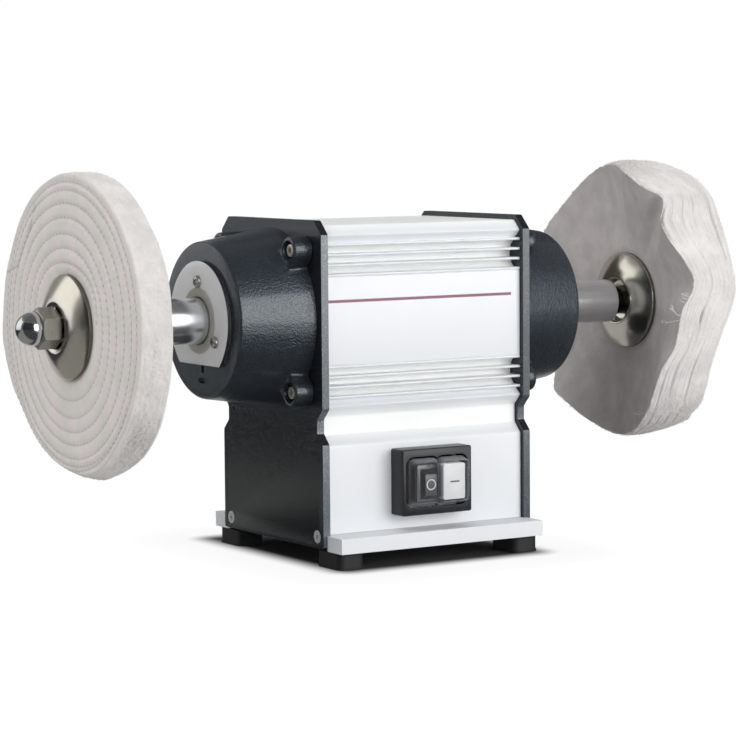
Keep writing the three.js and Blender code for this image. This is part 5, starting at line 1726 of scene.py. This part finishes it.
def right_spot(ring, degree):
    part, share = ring
    angle = radians(degree)
    low, high = inner_edge(degree), outer_edge(degree)
    edge = 97.6 + 0.7 * sin(7 * angle + 1) + 0.5 * sin(3 * angle)
    edge += 2.4 * exp(-(((degree + 180) % 360 - 268) / 24) ** 2)
    soil = row = rim = fray = 0.0
    if part == "hub":
        return (grip_near if share > 0 else grip_far), abs(share), unmarked
    if part in ("inner", "outer"):
        out = share if part == "inner" else 1 - share
        size = hub_grip + (edge - hub_grip) * out
        y, z = size * cos(angle), size * sin(angle)
        fold = 1.3 * sin(11 * angle + 1.5 * sin(2 * angle)) + 0.8 * sin(19 * angle + 2 + 3 * out)
        fold = fold * out * (1 - 0.55 * out) * (0.5 + lump(y, z, 5, 45))
        fold += 1.2 * lump(y, z, 2, 22) * out * (1 - out)
        if part == "inner":
            x = grip_near + (low - grip_near) * out ** 1.25 + fold
            # Painted shade in a ring where the cloth meets the flange, and painted shade darker
            # towards the front of the face; the rest is uneven soil.
            soil = 0.30 * exp(-((size - hub_grip) / 2.4) ** 2)
            soil += 0.20 * smooth_step((size * cos(angle) + 10) / 90)
            soil += 0.10 * smooth_step(2.2 * lump(6 * angle, out * 2, 3, 1.0, 6))
            rim = 0.5 * smooth_step((out - 0.985) / 0.015)
        else:
            x = grip_far + (high - grip_far) * out ** 1.15 + 0.6 * fold
            size -= 1.8 * max(0.0, (out - 0.9) / 0.1) ** 2
            rim = smooth_step((out - 0.9) / 0.1)
    else:
        x = low + (high - low) * share
        size = edge + 1.6 * sin(pi * share) ** 0.6
        size += 1.8 * smooth_step(share / 0.4) * exp(-(((degree + 180) % 360 - 262) / 20) ** 2)
        y, z = size * cos(angle), size * sin(angle)
        size += 0.5 * lump(x, y, z, 12, 3) + 0.25 * lump(x * 4, y, z, 5, 8)
        size -= 0.35 * abs(sin(pi * (share * 34 + 0.8 * lump(y, z, 1, 25, 4)))) ** 4
        size -= parting(share, degree)
        size -= 1.8 * max(0.0, (share - 0.965) / 0.035) ** 2
        ragged = exp(-(share / 0.05) ** 2)
        size += ragged * 0.8 * lump(y, z, x, 2.2, 3)
        x += ragged * 1.5 * lump(y, z, 4, 2.3, 2)
        brushed = exp(-((degree - 295) % 360 / 24) ** 4) if degree > 180 else 0.0
        worn = exp(-((degree - 84) / 26) ** 4) * smooth_step((0.55 - share) / 0.3) + 0.8 * brushed
        size += worn * (0.9 * lump(x * 1.6, y, z, 2.3, 6) + 0.3 * lump(x, y, z, 1.4, 2))
        rim = 1.0
        # Painted shade in the gaps between plies, and dirt on the worn patches.
        soil = 0.24 * min(parting(share, degree), 2.5) ** 1.2
        soil += 0.16 * worn * smooth_step(3 * lump(x * 1.6, y, z, 2.0, 12))
        fray = 0.25 + 1.5 * ragged + 1.0 * worn
    return x, size, {"row": row, "soil": min(soil, 0.95), "rim": rim, "fray": fray}


def over_rim(ring):
    part, share = ring
    if part == "rim":
        return share
    return 1.0 if part == "outer" else 0.0


right_rings = [("hub", 8.6), ("hub", 22.0), ("hub", 33.0)]
right_rings += [("inner", step / 44) for step in range(44)] + [("inner", 0.992), ("inner", 1.0)]
right_rings += [("rim", step / right_rim_steps) for step in range(1, right_rim_steps)]
right_rings += [("outer", step / 24) for step in range(25)]
right_rings += [("hub", -33.0), ("hub", -8.6)]
right_buff = turned_cloth("right_loose_buff_dressed", 512, right_rings, right_spot, cotton_loose,
                          over_rim)
fitted(right_buff, "spindle", "cotton_loose", "right_loose_buff")
hub_row = [(degree, 34.4 + 11.4 * exp(-((degree + 147) / 26) ** 2))
           for degree in range(-184, -105, 4)]
stitched("right_buff_hub_stitches", 217.0, hub_row, right_buff, 4.6, (-1, 0, 0), "cotton_loose")
bpy.data.objects.remove(one_stitch)
grown("right_buff_down", down, {"Cloth": right_buff, "Fibre": fibre, "Density": 4.2e5,
      "Lean": 1.1, "Longest": 1.4, "Seed": 34, "Finish": down_white}, "spindle", "cotton_loose")
bpy.data.objects.remove(fibre)

# Loose threads: strands of cotton pulled out of the right buff's cut edge, and curled by its spin.
# Each still hangs from the cloth.
strand, given = node_tree("loose_strand", {"Path": "Object", "Thickness": "Float",
                                           "Curl": "Float", "Finish": "Material"})
curve = add_node(strand, "GeometryNodeMeshToCurve", {0: shape_of(strand, given["Path"])})
evened = add_node(strand, "GeometryNodeResampleCurve", {"Curve": curve, "Length": 0.0005},
                  mode="LENGTH")
curl = add_node(strand, "ShaderNodeTexNoise", {"Scale": 420.0, "Detail": 1.0}).outputs["Color"]
curl = scaled(strand, vector_calc(strand, "SUBTRACT", curl, (0.5, 0.5, 0.5)), given["Curl"])
curled = add_node(strand, "GeometryNodeSetPosition", {"Geometry": evened, "Offset": curl})
ring = add_node(strand, "GeometryNodeCurvePrimitiveCircle", {
    "Resolution": 5, "Radius": given["Thickness"]})
tube = add_node(strand, "GeometryNodeCurveToMesh", {"Curve": curled, "Profile Curve": ring,
                                                    "Fill Caps": True})
finish_tree(strand, tube, given["Finish"])
# Each strand in X, Y and height over the shaft
strands = [[(193, -98.5, -5.0), (190, -96.5, -5.2), (190, -93.5, -3.0), (189, -90.5, 0.2)],
           [(190, -93.5, -3.0), (189, -90.0, -1.0), (189, -88.1, -0.4)],
           [(193, -98.5, -8.5), (190, -95.5, -8.9), (190, -91.4, -10.0), (190, -84.9, -10.8),
            (191, -80.0, -10.2), (191, -76.6, -10.8)],
           [(190, -84.9, -10.8), (190, -83.4, -12.0), (190, -82.7, -12.8)],
           [(190, -80.5, -8.8), (191, -78.6, -9.9), (191, -76.6, -10.8), (191, -78.0, -12.4)],
           [(190, -92.0, -1.2), (189, -91.6, 0.6), (189, -91.0, 1.4)],
           [(200, -97.6, 9.0), (198, -95.5, 10.2), (197, -93.0, 10.0)],
           [(200, -97.8, 7.8), (197, -96.0, 8.4), (195, -94.2, 9.6)],
           [(199, -98.0, 6.0), (196, -96.6, 6.4), (194, -95.6, 7.6)],
           [(197, -98.2, 4.0), (195, -96.4, 4.0), (193, -95.6, 5.0)],
           [(192, -59.8, -76.4), (190, -55.0, -78.6), (190, -49.0, -79.3), (190, -45.4, -78.8)]]
for index, path in enumerate(strands):
    seam = polyline("path", [(x, y, shaft_height + z) for x, y, z in path])
    grown(f"right_buff_strand_{index + 1}", strand, {"Path": seam, "Thickness": 0.24 * mm,
          "Curl": 0.0018, "Finish": down_white}, "spindle", "cotton_loose")
    bpy.data.objects.remove(seam)
